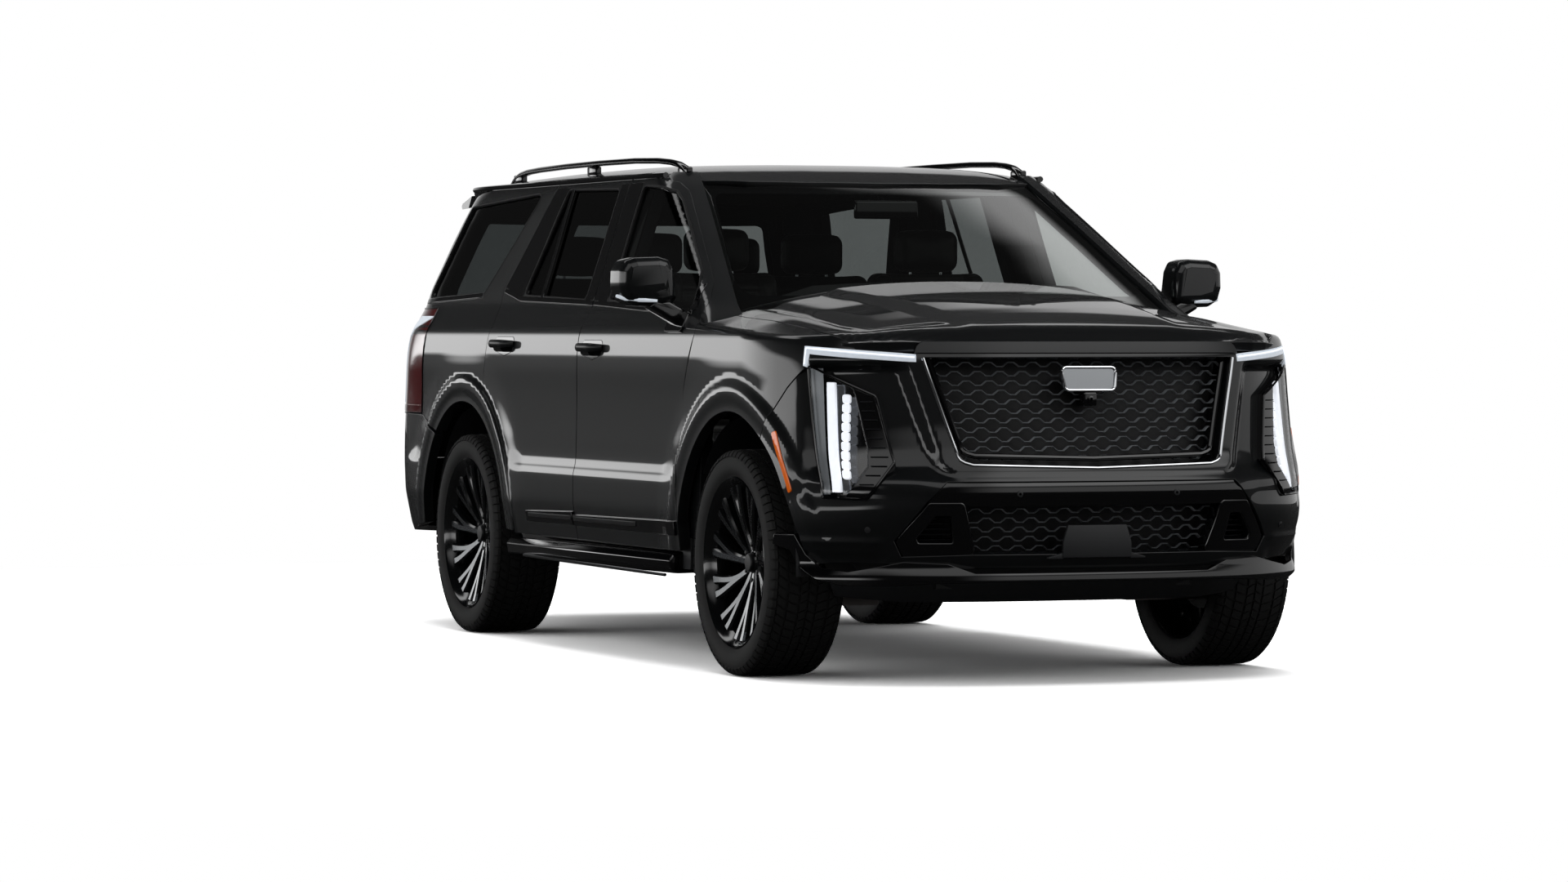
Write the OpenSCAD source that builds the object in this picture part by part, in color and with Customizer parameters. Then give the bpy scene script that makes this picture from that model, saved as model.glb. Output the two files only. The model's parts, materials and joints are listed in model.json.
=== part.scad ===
/* [Overall] */
// Length from bumper to bumper
car_length = 5382; // [4900:10:5900]
// Width across the doors
car_width = 2050; // [1850:10:2250]
// Height of the roof skin at its highest
roof_height = 1882; // [1780:2:2000]
// Distance between the axles
wheelbase = 3071; // [2800:10:3300]
// Nose to front axle
front_overhang = 955; // [850:5:1100]

/* [Wheels] */
// Outer radius of the tyre
tyre_radius = 405; // [370:1:440]
// Width of the tyre
tyre_width = 285; // [245:5:325]
// Radius of the rim at the bead
rim_radius = 308; // [250:1:320]
// Distance between the wheel centres of one axle
track = 1740; // [1600:5:1850]
// Radius of the wheel arch opening
arch_radius = 535; // [500:1:560]
// Brake disc radius
disc_radius = 200; // [160:1:225]
// Radius of the stub axle in the hub
spindle_radius = 30; // [20:1:40]
// Number of rim spokes
spoke_count = 11; // [5:1:16]
// Steering axis, inboard of the wheel centre
scrub = 60; // [40:5:90]

/* [Panels] */
// Gap between neighbouring panels
panel_gap = 5; // [4:0.5:8]
// Thickness of an outer skin
skin_t = 28; // [15:1:35]
// Thickness of a whole side wall or door
door_t = 120; // [90:5:150]
// Thickness of the door skin, the window frames and the roof
frame_t = 45; // [40:1:60]
// Step from a door skin's edge in to its inner box
door_step = 42; // [34:1:60]
// Width of the windshield pillar beside the glass
pillar_w = 60; // [40:5:80]
// Thickness of the window glass
glass_t = 6; // [4:0.5:8]
// Thickness of the tailgate
gate_t = 90; // [60:5:100]
// Thickness of the hood
hood_t = 40; // [25:1:60]
// Running clearance of a spindle in its bore
bore_clear = 0.3; // [0.2:0.05:1]

/* [Heights] */
// Lowest edge of the doors
sill_height = 430; // [400:5:480]
// Top of the cabin floor
floor_height = 560; // [520:5:600]
// Top of the hood at the windshield
cowl_height = 1407; // [1350:1:1450]

/* [Fastenings] */
// Width of the front plate bracket
plate_w = 305; // [280:5:340]
// Distance between the plate's screws
plate_pitch = 178; // [120:1:260]
// Radius of the plate's screw holes
plate_hole = 3.5; // [2.5:0.5:4]
// Inside width of the tow receiver
receiver_w = 51; // [32:1:64]
// Radius of the tow receiver's pin hole
receiver_pin = 8; // [6:0.5:8]

/* [Seats] */
// Width of one seat
seat_w = 560; // [480:5:620]
// Height of the seat cushion's top
cushion_height = 870; // [820:5:900]

/* [Hidden] */

half_w = car_width / 2;
nose_y = -car_length / 2;
tail_y = car_length / 2;
front_y = nose_y + front_overhang;
rear_y = front_y + wheelbase;
wheel_x = track / 2;
steer_x = wheel_x - scrub;
hub_z = tyre_radius;
far = 4000;
// Foot of the windshield on the centre line
cowl_y = -1350;
// Gap left at a soft stop
stop_gap = 0.3;
// Gap between a body opening and what shuts it
shut_gap = panel_gap + 2;
// Distance from the tail to the end of the wide floor, between the doors, and of the
// narrow floor, between the rear arches
wide_floor_end = 522;
narrow_floor_end = 228;
// Half width of the narrow floor
narrow_floor = 560;
// Distance from the tail to the front of the space the tailgate fills
gate_depth = 511;
// Centre of the steering wheel and the tilt of its axis from upright
wheel_centre = [440, -760, 1120];
column_tilt = 68;
floor_t = 40;
floor_under = floor_height - floor_t;
// Roof rails
rail_bar_x = 700;
// Frame rails
rail_x = 400;
rail_w = 90;
rail_low = 330;
rail_top = 450;
member_h = 60;
// Lower arms of the suspension
arm_z = 250;
arm_t = 30;
receiver_z = rail_low + 5;
shaft_z = 455;
shaft_r = 35;
axle_r = 40;

// How square the plan of the body is, and how deep its ends curve
plan_power = 2.6;
body_curve = 760;
cabin_curve_front = 260;
cabin_curve_rear = 740;

// Horizontal sections of the lower body: height, side inset, nose setback, tail setback
body_rows = [[300, 45, 130, 150], [420, 15, 60, 60], [560, 0, 20, 15], [680, 0, 0, 0],
    [800, 0, 50, 5], [1000, 2, 90, 25], [1150, 4, 115, 45], [1220, 14, 140, 60],
    [1270, 40, 180, 70], [1330, 75, 240, 80], [1420, 105, 320, 95]];

// Horizontal sections of the cabin: height, side inset, front, rear
cabin_top = roof_height;
cabin_rows = [[1100, 22, -1300, tail_y - 85], [1300, 66, cowl_y - 60, tail_y - 85],
    [cowl_height, 100, cowl_y, tail_y - 95],
    [1600, 163, -1003, tail_y - 200], [1790, 225, -650, tail_y - 340],
    [cabin_top - 42, 262, -530, tail_y - 410], [cabin_top - 12, 420, -330, tail_y - 620],
    [cabin_top, 640, -120, tail_y - 860]];

// Cross sections of the hood and fender tops: station, crown height, drop at the side
top_rows = [[nose_y - 10, 1150, 50], [nose_y + 130, 1195, 60], [nose_y + 197, 1253, 85],
    [-2200, 1310, 115], [-1800, 1366, 145], [-1350, cowl_height, 165],
    [-1290, 1425, 120], [tail_y + 10, 1425, 5]];

function side_x(i) = sign(sin(i)) * pow(abs(sin(i)), 2 / plan_power);
function end_y(i) = 1 - pow(abs(cos(i)), 2 / plan_power);
function end_points(w, y, depth) = [for (i = [-90:10:90]) [w * side_x(i), y + depth * end_y(i)]];

function plan(w, front, rear, front_depth, rear_depth) =
    concat(end_points(w, front, front_depth), end_points(-w, rear, -rear_depth));

function body_ring(r, g) = [for (p = plan(half_w - r[1] - g, nose_y + r[2] + g, tail_y - r[3] - g,
    body_curve, body_curve)) [p[0], p[1], r[0]]];

function cabin_ring(r, g) = [for (p = plan(half_w - r[1] - g, r[2] + g, r[3] - g,
    cabin_curve_front, cabin_curve_rear))
    [p[0], p[1], r[0] - g * (r[0] - cabin_rows[0][0]) / (cabin_top - cabin_rows[0][0])]];

function top_ring(r, g) = concat([[half_w + 50, r[0], 0], [-half_w - 50, r[0], 0]],
    [for (i = [-10:10]) [i / 10 * (half_w + 50), r[0], r[1] - g - r[2] * pow(abs(i / 10), 2.2)]]);

// Solid between two rings of points
module band(a, b) {
    hull()
        polyhedron(points = concat(a, b), faces = [[for (i = [0:len(a) + len(b) - 1]) i]]);
}

module car_envelope(g) {
    intersection() {
        for (i = [0:len(body_rows) - 2])
            band(body_ring(body_rows[i], g), body_ring(body_rows[i + 1], g));
        for (i = [0:len(top_rows) - 2])
            band(top_ring(top_rows[i], g), top_ring(top_rows[i + 1], g));
    }
    for (i = [0:len(cabin_rows) - 2])
        band(cabin_ring(cabin_rows[i], g), cabin_ring(cabin_rows[i + 1], g));
}

// Shell of the whole car between two depths below its surface
module shell(outer, inner) {
    difference() {
        car_envelope(outer);
        car_envelope(inner);
    }
}

// A prism across the car from a side outline of [y, z] points, on the left
module side_prism(x0 = door_inner, x1 = 1200) {
    translate([x0, 0, 0])
        rotate([90, 0, 90])
            linear_extrude(x1 - x0)
                children();
}

// A prism along the car from a front outline of [x, z] points
module front_prism(y0, y1) {
    translate([0, y1, 0])
        rotate([90, 0, 0])
            linear_extrude(y1 - y0)
                children();
}

module both_sides() {
    children();
    mirror([1, 0, 0])
        children();
}

belt_height = 1330;
// Inner limit of the doors, across the car
door_inner = 725;

// Side outlines, as [y, z]
front_edge = front_y + 530;
door_split = front_edge + 1176;
door_rear = rear_y - 250;
flare_radius = arch_radius + 105;
// How far the upper rear corner of a door stands back from its opening
front_relief = 30;
rear_relief = 28;

// A door's upper edge leans in from its hinge line, so it swings backwards as it opens.
// The relief narrows the window frame there; a relief of 0 gives the opening in the body.
function front_door_points(relief) = [[front_edge, sill_height], [front_edge, 650],
    [front_edge - 34, 1010], [front_edge - 137, 1224], [front_edge - 90, 1330],
    [-1263, cowl_height + 4], [-1101, 1548], [-897, 1672], [-651, 1782], [-450, 1806],
    [-230, drip_height - panel_gap - 2], [door_split - 49 - relief, drip_height - panel_gap],
    [door_split - 49 - relief / 5, 1242], [door_split - relief / 15, 597],
    [door_split - relief / 15, sill_height]];
function rear_door_points(relief) = [[door_split + panel_gap, sill_height],
    [door_split + panel_gap, 597], [door_split - 49 + panel_gap, 1242],
    [door_split - 49 + panel_gap, drip_height - panel_gap], [640, drip_height - panel_gap],
    [795 - relief, 1812], [door_rear - relief * 0.4, 1400], [door_rear - 55 - relief / 4, 1249],
    [door_rear - relief / 5, 1051],
    [door_rear, sill_height]];
front_window_points = [[-1196, 1292], [-1137, 1457], [-925, 1611], [-762, 1706], [-544, 1772],
    [-240, 1786], [-240, 1338]];
rear_window_points = [[26, 1340], [15, 1779], [635, 1791], [802, 1363]];
quarter_window_points = [[1317, 1376], [928, 1786], [1869, 1746], [2084, 1360]];

module front_door_outline(relief = 0) {
    polygon(front_door_points(relief));
}

module rear_door_outline(relief = 0) {
    difference() {
        polygon(rear_door_points(relief));
        translate([rear_y, hub_z])
            circle(r = flare_radius, $fn = 60);
    }
}

// A whole door: skin with its window frame, and an inner box below the belt
module door(window) {
    difference() {
        union() {
            intersection() {
                shell(0, frame_t);
                side_prism()
                    children();
            }
            intersection() {
                shell(frame_t - 1, door_t);
                side_prism()
                    intersection() {
                        offset(delta = -door_step)
                            children();
                        translate([-far, floor_height + 12])
                            square([2 * far, belt_height - floor_height - 12]);
                    }
            }
        }
        side_prism()
            polygon(window);
        windshield_space(pillar_w);
    }
}

// The windshield's opening and a margin round it
module windshield_space(margin) {
    front_prism(-far, 0)
        offset(delta = margin)
            polygon(windshield_points);
}

module front_door() {
    door(front_window_points)
        front_door_outline(front_relief);
}

module rear_door() {
    door(rear_window_points)
        rear_door_outline(rear_relief);
}

module pane(points) {
    difference() {
        intersection() {
            shell(12, 12 + glass_t);
            side_prism()
                polygon(points);
        }
        windshield_space(pillar_w);
    }
}

// Space that the closed doors and their swing keep free in the body
module door_cut() {
    intersection() {
        shell(-10, frame_t + 7);
        side_prism(door_inner - shut_gap)
            offset(delta = panel_gap)
                union() {
                    front_door_outline();
                    rear_door_outline();
                    translate([door_split - 60, sill_height])
                        square([70, drip_height - panel_gap - sill_height]);
                }
    }
    side_prism(500)
        intersection() {
            union() {
                offset(delta = 15 - door_step)
                    front_door_outline();
                offset(delta = 15 - door_step)
                    rear_door_outline();
            }
            translate([-far, floor_height])
                square([2 * far, belt_height + 12 - floor_height]);
        }
    for (points = [front_window_points, rear_window_points])
        side_prism(500)
            offset(delta = 12)
                polygon(points);
}

// Plan outline of the hood
hood_rear = cowl_y - 50;
hood_points = [[-880, hood_rear], [-880, hood_rear - 170], [-830, nose_y + 330],
    [-660, nose_y + 162], [-620, nose_y - 20], [620, nose_y - 20], [660, nose_y + 162],
    [830, nose_y + 330], [880, hood_rear - 170], [880, hood_rear]];
// Front outlines, as [x, z]
windshield_points = [[-850, 1335], [-680, 1793], [680, 1793], [850, 1335]];
grille_points = [[-624, 1150], [-560, 800], [-500, 765], [500, 765], [560, 800], [624, 1150]];
lamp_points = [[690, 1150], [1100, 1150], [1100, 620], [770, 620], [700, 760]];
tailgate_points = [[-800, 640], [-850, 1000], [-850, 1330], [-690, 1770], [690, 1770], [850, 1330],
    [850, 1000], [800, 640]];
tail_glass_points = [[-780, 1340], [-650, 1700], [650, 1700], [780, 1340]];
tail_lamp_points = [[860, 880], [1100, 880], [1100, 1330], [860, 1330]];
pillar_foot = cowl_height + 5;
drip_height = roof_height - 58;
tail_line = rear_y + 560;
gate_front = tail_y - gate_depth;
bumper_line = front_y - arch_radius + 20;
hood_line = 1195;

// Space behind the rear pillars that the tailgate fills, grown by a margin
module gate_space(margin) {
    intersection() {
        front_prism(1200, far)
            offset(delta = margin)
                polygon(tailgate_points);
        side_prism(-far, far)
            polygon([[gate_front - margin, 600], [gate_front - margin, 1400],
                [gate_front - 200 - margin, 1800], [far, 1800], [far, 600]]);
    }
}

module floor_slab() {
    for (end = [[half_w - door_t, wide_floor_end], [narrow_floor, narrow_floor_end]])
        translate([-end[0], cowl_y + 55, floor_under])
            cube([2 * end[0], tail_y - end[1] - cowl_y - 55, floor_t]);
}

module floor_pan() {
    color("dimgray")
        difference() {
            floor_slab();
            both_sides()
                for (y = [front_y, rear_y])
                    translate([600, y, hub_z])
                        rotate([0, 90, 0])
                            cylinder(h = 600, r = arch_radius + 21, $fn = 96);
        }
}

module body_sides() {
    color("black")
        difference() {
            shell(0, door_t);
            // below the sills, above the drip rail, and between the sides
            translate([-far, -far, -10])
                cube([2 * far, 2 * far, sill_height - 50]);
            translate([-far, -far, drip_height])
                cube([2 * far, 2 * far, 400]);
            translate([-700, -1300, 1650])
                cube([1400, 3150, 500]);
            floor_slab();
            // ahead of the hinge pillars, and behind the fenders
            translate([-far, -far, 0])
                cube([2 * far, far + cowl_y + 56, pillar_foot]);
            translate([-840, -far, 0])
                cube([1680, far - 900, pillar_foot]);
            translate([-far, -far, 1240])
                cube([2 * far, far + cowl_y + 175, pillar_foot - 1240]);
            intersection() {
                shell(-10, skin_t + 7);
                translate([-far, -far, 0])
                    cube([2 * far, far + front_edge + 10, pillar_foot]);
            }
            both_sides() {
                door_cut();
                side_prism(500)
                    polygon(quarter_window_points);
                translate([500, rear_y, hub_z])
                    rotate([0, 90, 0])
                        cylinder(h = 900, r = arch_radius, $fn = 96);
                translate([500, front_y, hub_z])
                    rotate([0, 90, 0])
                        cylinder(h = 900, r = arch_radius + 21, $fn = 96);
            }
            windshield_space(3);
            // tailgate with the frame it closes on, lamps and bumper
            intersection() {
                shell(-10, gate_t + 7);
                gate_space(shut_gap);
            }
            front_prism(1200, far)
                offset(delta = -30)
                    polygon(tailgate_points);
            front_prism(1200, far)
                intersection() {
                    offset(delta = panel_gap)
                        polygon(tailgate_points);
                    translate([-far, 1480])
                        square([2 * far, far]);
                }
            front_prism(tail_line - panel_gap, far)
                both_half(tail_lamp_points);
            translate([-far, tail_line, 0])
                cube([2 * far, far, 880]);
        }
    // strikers that the doors and the tailgate close on
    color("silver")
        both_sides() {
            for (y = [door_split - 30, door_rear - 30])
                intersection() {
                    shell(frame_t + stop_gap, frame_t + 20);
                    translate([700, y, 1060])
                        cube([400, 24, 50]);
                }
            intersection() {
                shell(gate_t + stop_gap, gate_t + 20);
                translate([800, 1800, 1000])
                    cube([40, 800, 60]);
            }
        }
    // inner wheel housings of the rear wheels
    color("black")
        both_sides()
            difference() {
                translate([640, rear_y, hub_z])
                    rotate([0, 90, 0])
                        cylinder(h = 330, r = arch_radius + 20, $fn = 96);
                translate([650, rear_y, hub_z])
                    rotate([0, 90, 0])
                        cylinder(h = 400, r = arch_radius + 0.5, $fn = 96);
                translate([0, 0, -200])
                    cube([far, far, 400 + hub_z]);
            }
}

module both_half(points) {
    polygon(points);
    mirror([1, 0])
        polygon(points);
}

module roof_panel() {
    color("black")
        difference() {
            shell(0, frame_t);
            translate([-far, -far, -200])
                cube([2 * far, 2 * far, drip_height + 200]);
        }
}

module firewall() {
    color("dimgray")
        difference() {
            union() {
                intersection() {
                    car_envelope(skin_t);
                    translate([-850, cowl_y + 10, floor_height - 40])
                        cube([1700, 45, 950]);
                }
                // cowl between hood and windshield
                intersection() {
                    shell(2, skin_t + 12);
                    translate([-845, hood_rear + panel_gap, 1200])
                        cube([1690, cowl_y - hood_rear - panel_gap, 300]);
                }
            }
            both_sides()
                translate([640, front_y, hub_z])
                    rotate([0, 90, 0])
                        cylinder(h = 600, r = arch_radius + 21, $fn = 96);
        }
}

// Panel that carries the radiator, with the hood's rubber stops on it
module radiator_support() {
    color("dimgray") {
        translate([-600, nose_y + 300, rail_top])
            cube([1200, 60, 680]);
        both_sides()
            intersection() {
                car_envelope(hood_t + stop_gap);
                translate([480, nose_y + 330, 1129])
                    cylinder(h = 300, r = 16);
            }
    }
}

module front_fenders() {
    color("black")
        both_sides()
            difference() {
                intersection() {
                    shell(0, skin_t);
                    translate([0, -far, 0])
                        cube([far, far + front_edge + 200, 1400]);
                }
                side_prism(0)
                    offset(delta = panel_gap)
                        front_door_outline();
                translate([0, -far, pillar_foot])
                    cube([far, 2 * far, 600]);
                translate([0, hood_rear - 10, 1150])
                    cube([850, far, 500]);
                translate([0, 0, 1000])
                    linear_extrude(600)
                        offset(delta = shut_gap)
                            polygon(hood_points);
                translate([-1, -far, 0])
                    cube([far, far + bumper_line, 690]);
                translate([-1, -far, 0])
                    cube([far, far + bumper_line - 70, 1160]);
                translate([-1, -far, 0])
                    cube([690, far, 1180]);
                translate([-1, -1800, 0])
                    cube([far, far, sill_height]);
                translate([500, front_y, hub_z])
                    rotate([0, 90, 0])
                        cylinder(h = 900, r = arch_radius, $fn = 96);
                windshield_space(3.5);
            }
    color("black")
        both_sides()
            difference() {
                translate([650, front_y, hub_z])
                    rotate([0, 90, 0])
                        cylinder(h = 320, r = arch_radius + 15, $fn = 96);
                translate([640, front_y, hub_z])
                    rotate([0, 90, 0])
                        cylinder(h = 400, r = arch_radius + 0.5, $fn = 96);
                translate([0, -far, -200])
                    cube([far, far, 400 + hub_z]);
            }
}

module front_bumper() {
    color("black")
        difference() {
            intersection() {
                shell(0, 70);
                translate([-far, -far, 0])
                    cube([2 * far, far + bumper_line, hood_line]);
            }
            front_prism(-far, 0)
                offset(delta = 3)
                    polygon(grille_points);
            front_prism(-far, 0)
                offset(delta = 3)
                    both_half(lamp_points);
            translate([0, 0, 1165])
                linear_extrude(600)
                    offset(delta = shut_gap)
                        polygon(hood_points);
            translate([690, -far, 690])
                cube([far, far, far]);
            translate([-690 - far, -far, 690])
                cube([far, far, far]);
            both_sides()
                translate([500, front_y, hub_z])
                    rotate([0, 90, 0])
                        cylinder(h = 900, r = arch_radius, $fn = 96);
        }
}

module grille() {
    color("gray")
        intersection() {
            shell(12, 50);
            front_prism(-far, 0)
                offset(delta = 3)
                    polygon(grille_points);
            translate([-far, -far, 0])
                cube([2 * far, far - 2000, far]);
        }
}

module headlamps() {
    color("white")
        both_sides()
            intersection() {
                shell(3, 90);
                front_prism(-far, 0)
                    polygon([for (p = lamp_points) [p[0], p[1] + (p[1] > 1000 ? 5 : 3)]]);
                translate([0, -far, 0])
                    cube([far, far + bumper_line - 74, far]);
            }
}

module rear_bumper() {
    color("black")
        difference() {
            intersection() {
                shell(0, 70);
                translate([-far, tail_line + 5, 0])
                    cube([2 * far, far, 875]);
            }
            front_prism(1200, far)
                offset(delta = shut_gap)
                    polygon(tailgate_points);
            translate([-far, 0, 0])
                cube([2 * far, far, 384]);
        }
}

module tail_lamps() {
    color("red")
        both_sides()
            difference() {
                intersection() {
                    shell(2, 60);
                    front_prism(tail_line, far)
                        polygon(tail_lamp_points);
                }
                front_prism(1200, far)
                    offset(delta = panel_gap)
                        polygon(tailgate_points);
            }
}

module windshield() {
    color("lightblue")
        intersection() {
            shell(12, 12 + glass_t);
            windshield_space(3);
            translate([-far, cowl_y, 1300])
                cube([2 * far, 2 * far, 524]);
        }
}

module quarter_windows() {
    color("lightblue")
        both_sides()
            pane(quarter_window_points);
}

module roof_rails() {
    color("black")
        both_sides()
            difference() {
                union() {
                    for (y = [-395, 560, 1500])
                        translate([rail_bar_x - 14, y, 1780])
                            cube([28, 90, 111]);
                    translate([rail_bar_x - 16, -400, 1890])
                        cube([32, 1995, 20]);
                }
                car_envelope(0);
            }
}

module running_boards() {
    color("silver")
        both_sides() {
            translate([900, front_y + 640, 315])
                cube([140, wheelbase - 1290, 45]);
            for (y = [front_y + 700, -300, rear_y - 740])
                translate([rail_x + rail_w, y, 335])
                    cube([901 - rail_x - rail_w, 60, 25]);
        }
}

// Side outline of a frame rail, raised over the rear axle
rail_points = [[front_y - 640, rail_low], [rear_y - 450, rail_low], [rear_y - 220, rail_top + 8],
    [rear_y + 220, rail_top + 8], [rear_y + 400, rail_low + 60], [rear_y + 760, rail_low + 60],
    [rear_y + 760, floor_under - 6], [rear_y - 300, floor_under - 6], [rear_y - 480, rail_top],
    [front_y - 640, rail_top]];

module chassis_frame() {
    color("dimgray") {
        both_sides()
            side_prism(rail_x, rail_x + rail_w)
                polygon(rail_points);
        for (y = [front_y - 640, front_y - 40, front_y + 560, -200, rear_y - 560])
            translate([-rail_x - 1, y, rail_low])
                cube([2 * rail_x + 2, 80, member_h]);
        translate([-rail_x - 1, rear_y + 680, rail_low + 62])
            cube([2 * rail_x + 2, 80, member_h + 30]);
        // tow receiver
        difference() {
            translate([-receiver_w / 2 - 7, rear_y + 700, receiver_z])
                cube([receiver_w + 14, 420, receiver_w + 14]);
            translate([-receiver_w / 2, rear_y + 800, receiver_z + 7])
                cube([receiver_w, 400, receiver_w]);
            translate([-100, rear_y + 1060, receiver_z + 7 + receiver_w / 2])
                rotate([0, 90, 0])
                    cylinder(h = 200, r = receiver_pin, $fn = 32);
        }
        // body mounts between frame and floor
        both_sides()
            for (y = [front_y + 620, -100, rear_y - 620])
                translate([rail_x + 25, y, rail_top - 1])
                    cube([40, 60, floor_under - rail_top + 1]);
        both_sides()
            for (y = [rear_y - 100, rear_y + 640])
                translate([rail_x + 25, y, floor_under - 20])
                    cube([40, 60, 20]);
    }
}

module front_arms() {
    color("silver")
        both_sides() {
            translate([rail_x + rail_w, front_y - 110, arm_z])
                cube([30, 220, rail_top - arm_z]);
            for (y = [front_y - 110, front_y + 60])
                translate([rail_x + rail_w + 29, y, arm_z])
                    cube([200, 50, arm_t]);
            translate([640, front_y - 110, arm_z])
                cube([130, 220, arm_t]);
            translate([560, front_y - 25, arm_z])
                cylinder(h = 490, r = 42);
            translate([518, front_y - 110, arm_z])
                cube([84, 220, arm_t]);
        }
}

// Front plate bracket with its two screw holes
module plate_bracket() {
    color("dimgray")
        difference() {
            translate([-plate_w / 2, nose_y + 1, 445])
                cube([plate_w, 19, 115]);
            for (x = [-1, 1])
                translate([x * plate_pitch / 2, nose_y - 20, 530])
                    rotate([-90, 0, 0])
                        cylinder(h = 60, r = plate_hole, $fn = 32);
        }
}

module engine() {
    color("gray")
        translate([-310, front_y - 330, rail_low + member_h])
            cube([620, 700, 650]);
}

module prop_shaft() {
    color("gray")
        translate([0, front_y + 370, shaft_z])
            rotate([-90, 0, 0])
                cylinder(h = wheelbase - 370 - 112, r = shaft_r);
}

module exhaust() {
    color("silver") {
        translate([90, -80, 265])
            cube([280, 760, 130]);
        translate([230, 679, 295])
            rotate([-90, 0, 0])
                cylinder(h = tail_y - 679 - 160, r = 30);
        for (y = [0, 600])
            translate([200, y, 394])
                cylinder(h = floor_under - 394, r = 6);
    }
}

module fuel_tank() {
    color("dimgray")
        translate([-390, -100, 300])
            cube([330, 850, floor_under - 300]);
}

module rear_axle() {
    color("silver") {
        translate([0, rear_y, hub_z])
            sphere(r = 108);
        translate([0, rear_y - 112, shaft_z])
            rotate([-90, 0, 0])
                cylinder(h = 60, r = shaft_r);
        translate([-wheel_x + 150, rear_y, hub_z])
            rotate([0, 90, 0])
                cylinder(h = track - 300, r = axle_r);
        both_sides() {
            translate([wheel_x - 151, rear_y, hub_z])
                rotate([0, 90, 0])
                    cylinder(h = 170, r = spindle_radius);
            translate([wheel_x - 180, rear_y - 60, arm_z + 40])
                cube([30, 120, 200]);
            translate([rail_x, rear_y - 60, arm_z + 40])
                cube([300, 240, arm_t]);
            translate([rail_x + rail_w / 2, rear_y + 120, arm_z + 41])
                cylinder(h = rail_top + 8 - arm_z - 41, r = 38);
        }
    }
}

module dashboard() {
    color("black") {
        translate([-800, cowl_y + 55, 900])
            cube([1600, 425, 300]);
        // steering column
        translate(wheel_centre)
            rotate([-column_tilt, 0, 0])
                translate([0, 0, -190])
                    cylinder(h = 190 - 25 - stop_gap, r = 35);
    }
}

module centre_console() {
    color("black")
        translate([-160, cowl_y + 480, floor_height])
            cube([320, 900, 290]);
}

module seat(w) {
    base = cushion_height - floor_height;
    translate([-w / 2 + 50, 60, floor_height])
        cube([w - 100, 380, base - 160]);
    translate([-w / 2, 0, cushion_height - 170])
        cube([w, 500, 170]);
    translate([-w / 2, 419, cushion_height - 170])
        cube([w, 150, 760]);
    translate([-130, 440, cushion_height + 589])
        cube([260, 110, 170]);
}

module front_seats() {
    color("tan")
        both_sides()
            translate([440, -560, 0])
                seat(seat_w);
}

module second_row_seats() {
    color("tan")
        both_sides()
            translate([350, 430, 0])
                seat(seat_w);
}

module third_row_seat() {
    color("tan")
        translate([0, 1350, 0])
            seat(1180);
}

module steering_wheel() {
    color("black")
        translate(wheel_centre)
            rotate([-column_tilt, 0, 0]) {
                rotate_extrude($fn = 64)
                    translate([175, 0])
                        circle(r = 16);
                translate([0, 0, -25])
                    cylinder(h = 35, r = 60);
                for (a = [0, 180, 270])
                    rotate(a)
                        translate([50, -16, -12])
                            cube([112, 32, 16]);
            }
}

module front_left_door() {
    color("black")
        front_door();
}

module front_right_door() {
    color("black")
        mirror([1, 0, 0])
            front_door();
}

module rear_left_door() {
    color("black")
        rear_door();
}

module rear_right_door() {
    color("black")
        mirror([1, 0, 0])
            rear_door();
}

module front_left_glass() {
    color("lightblue")
        pane(front_window_points);
}

module front_right_glass() {
    color("lightblue")
        mirror([1, 0, 0])
            pane(front_window_points);
}

module rear_left_glass() {
    color("lightblue")
        pane(rear_window_points);
}

module rear_right_glass() {
    color("lightblue")
        mirror([1, 0, 0])
            pane(rear_window_points);
}

module mirror_body() {
    difference() {
        union() {
            translate([925, -1110, 1295])
                cube([130, 60, 50]);
            translate([1030, -1150, 1300])
                cube([190, 120, 180]);
        }
        car_envelope(0);
    }
}

module left_mirror() {
    color("black")
        mirror_body();
}

module right_mirror() {
    color("black")
        mirror([1, 0, 0])
            mirror_body();
}

module hood() {
    color("black")
        difference() {
            intersection() {
                shell(0, hood_t);
                translate([0, 0, 1150])
                    linear_extrude(600)
                        polygon(hood_points);
            }
            translate([-far, -far, 0])
                cube([2 * far, 2 * far, hood_line + panel_gap]);
        }
}

module tailgate() {
    color("black")
        difference() {
            intersection() {
                shell(0, gate_t);
                gate_space(0);
            }
            front_prism(1200, far)
                polygon(tail_glass_points);
        }
}

module tailgate_glass() {
    color("lightblue")
        intersection() {
            shell(12, 12 + glass_t);
            front_prism(1900, far)
                polygon(tail_glass_points);
        }
}

module knuckle() {
    color("silver")
        translate([steer_x, front_y, hub_z]) {
            translate([-60, -45, arm_z + arm_t + stop_gap - hub_z])
                cube([60, 90, 240]);
            rotate([0, 90, 0])
                cylinder(h = scrub + 20, r = spindle_radius);
        }
}

module left_knuckle() {
    knuckle();
}

module right_knuckle() {
    mirror([1, 0, 0])
        knuckle();
}

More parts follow.
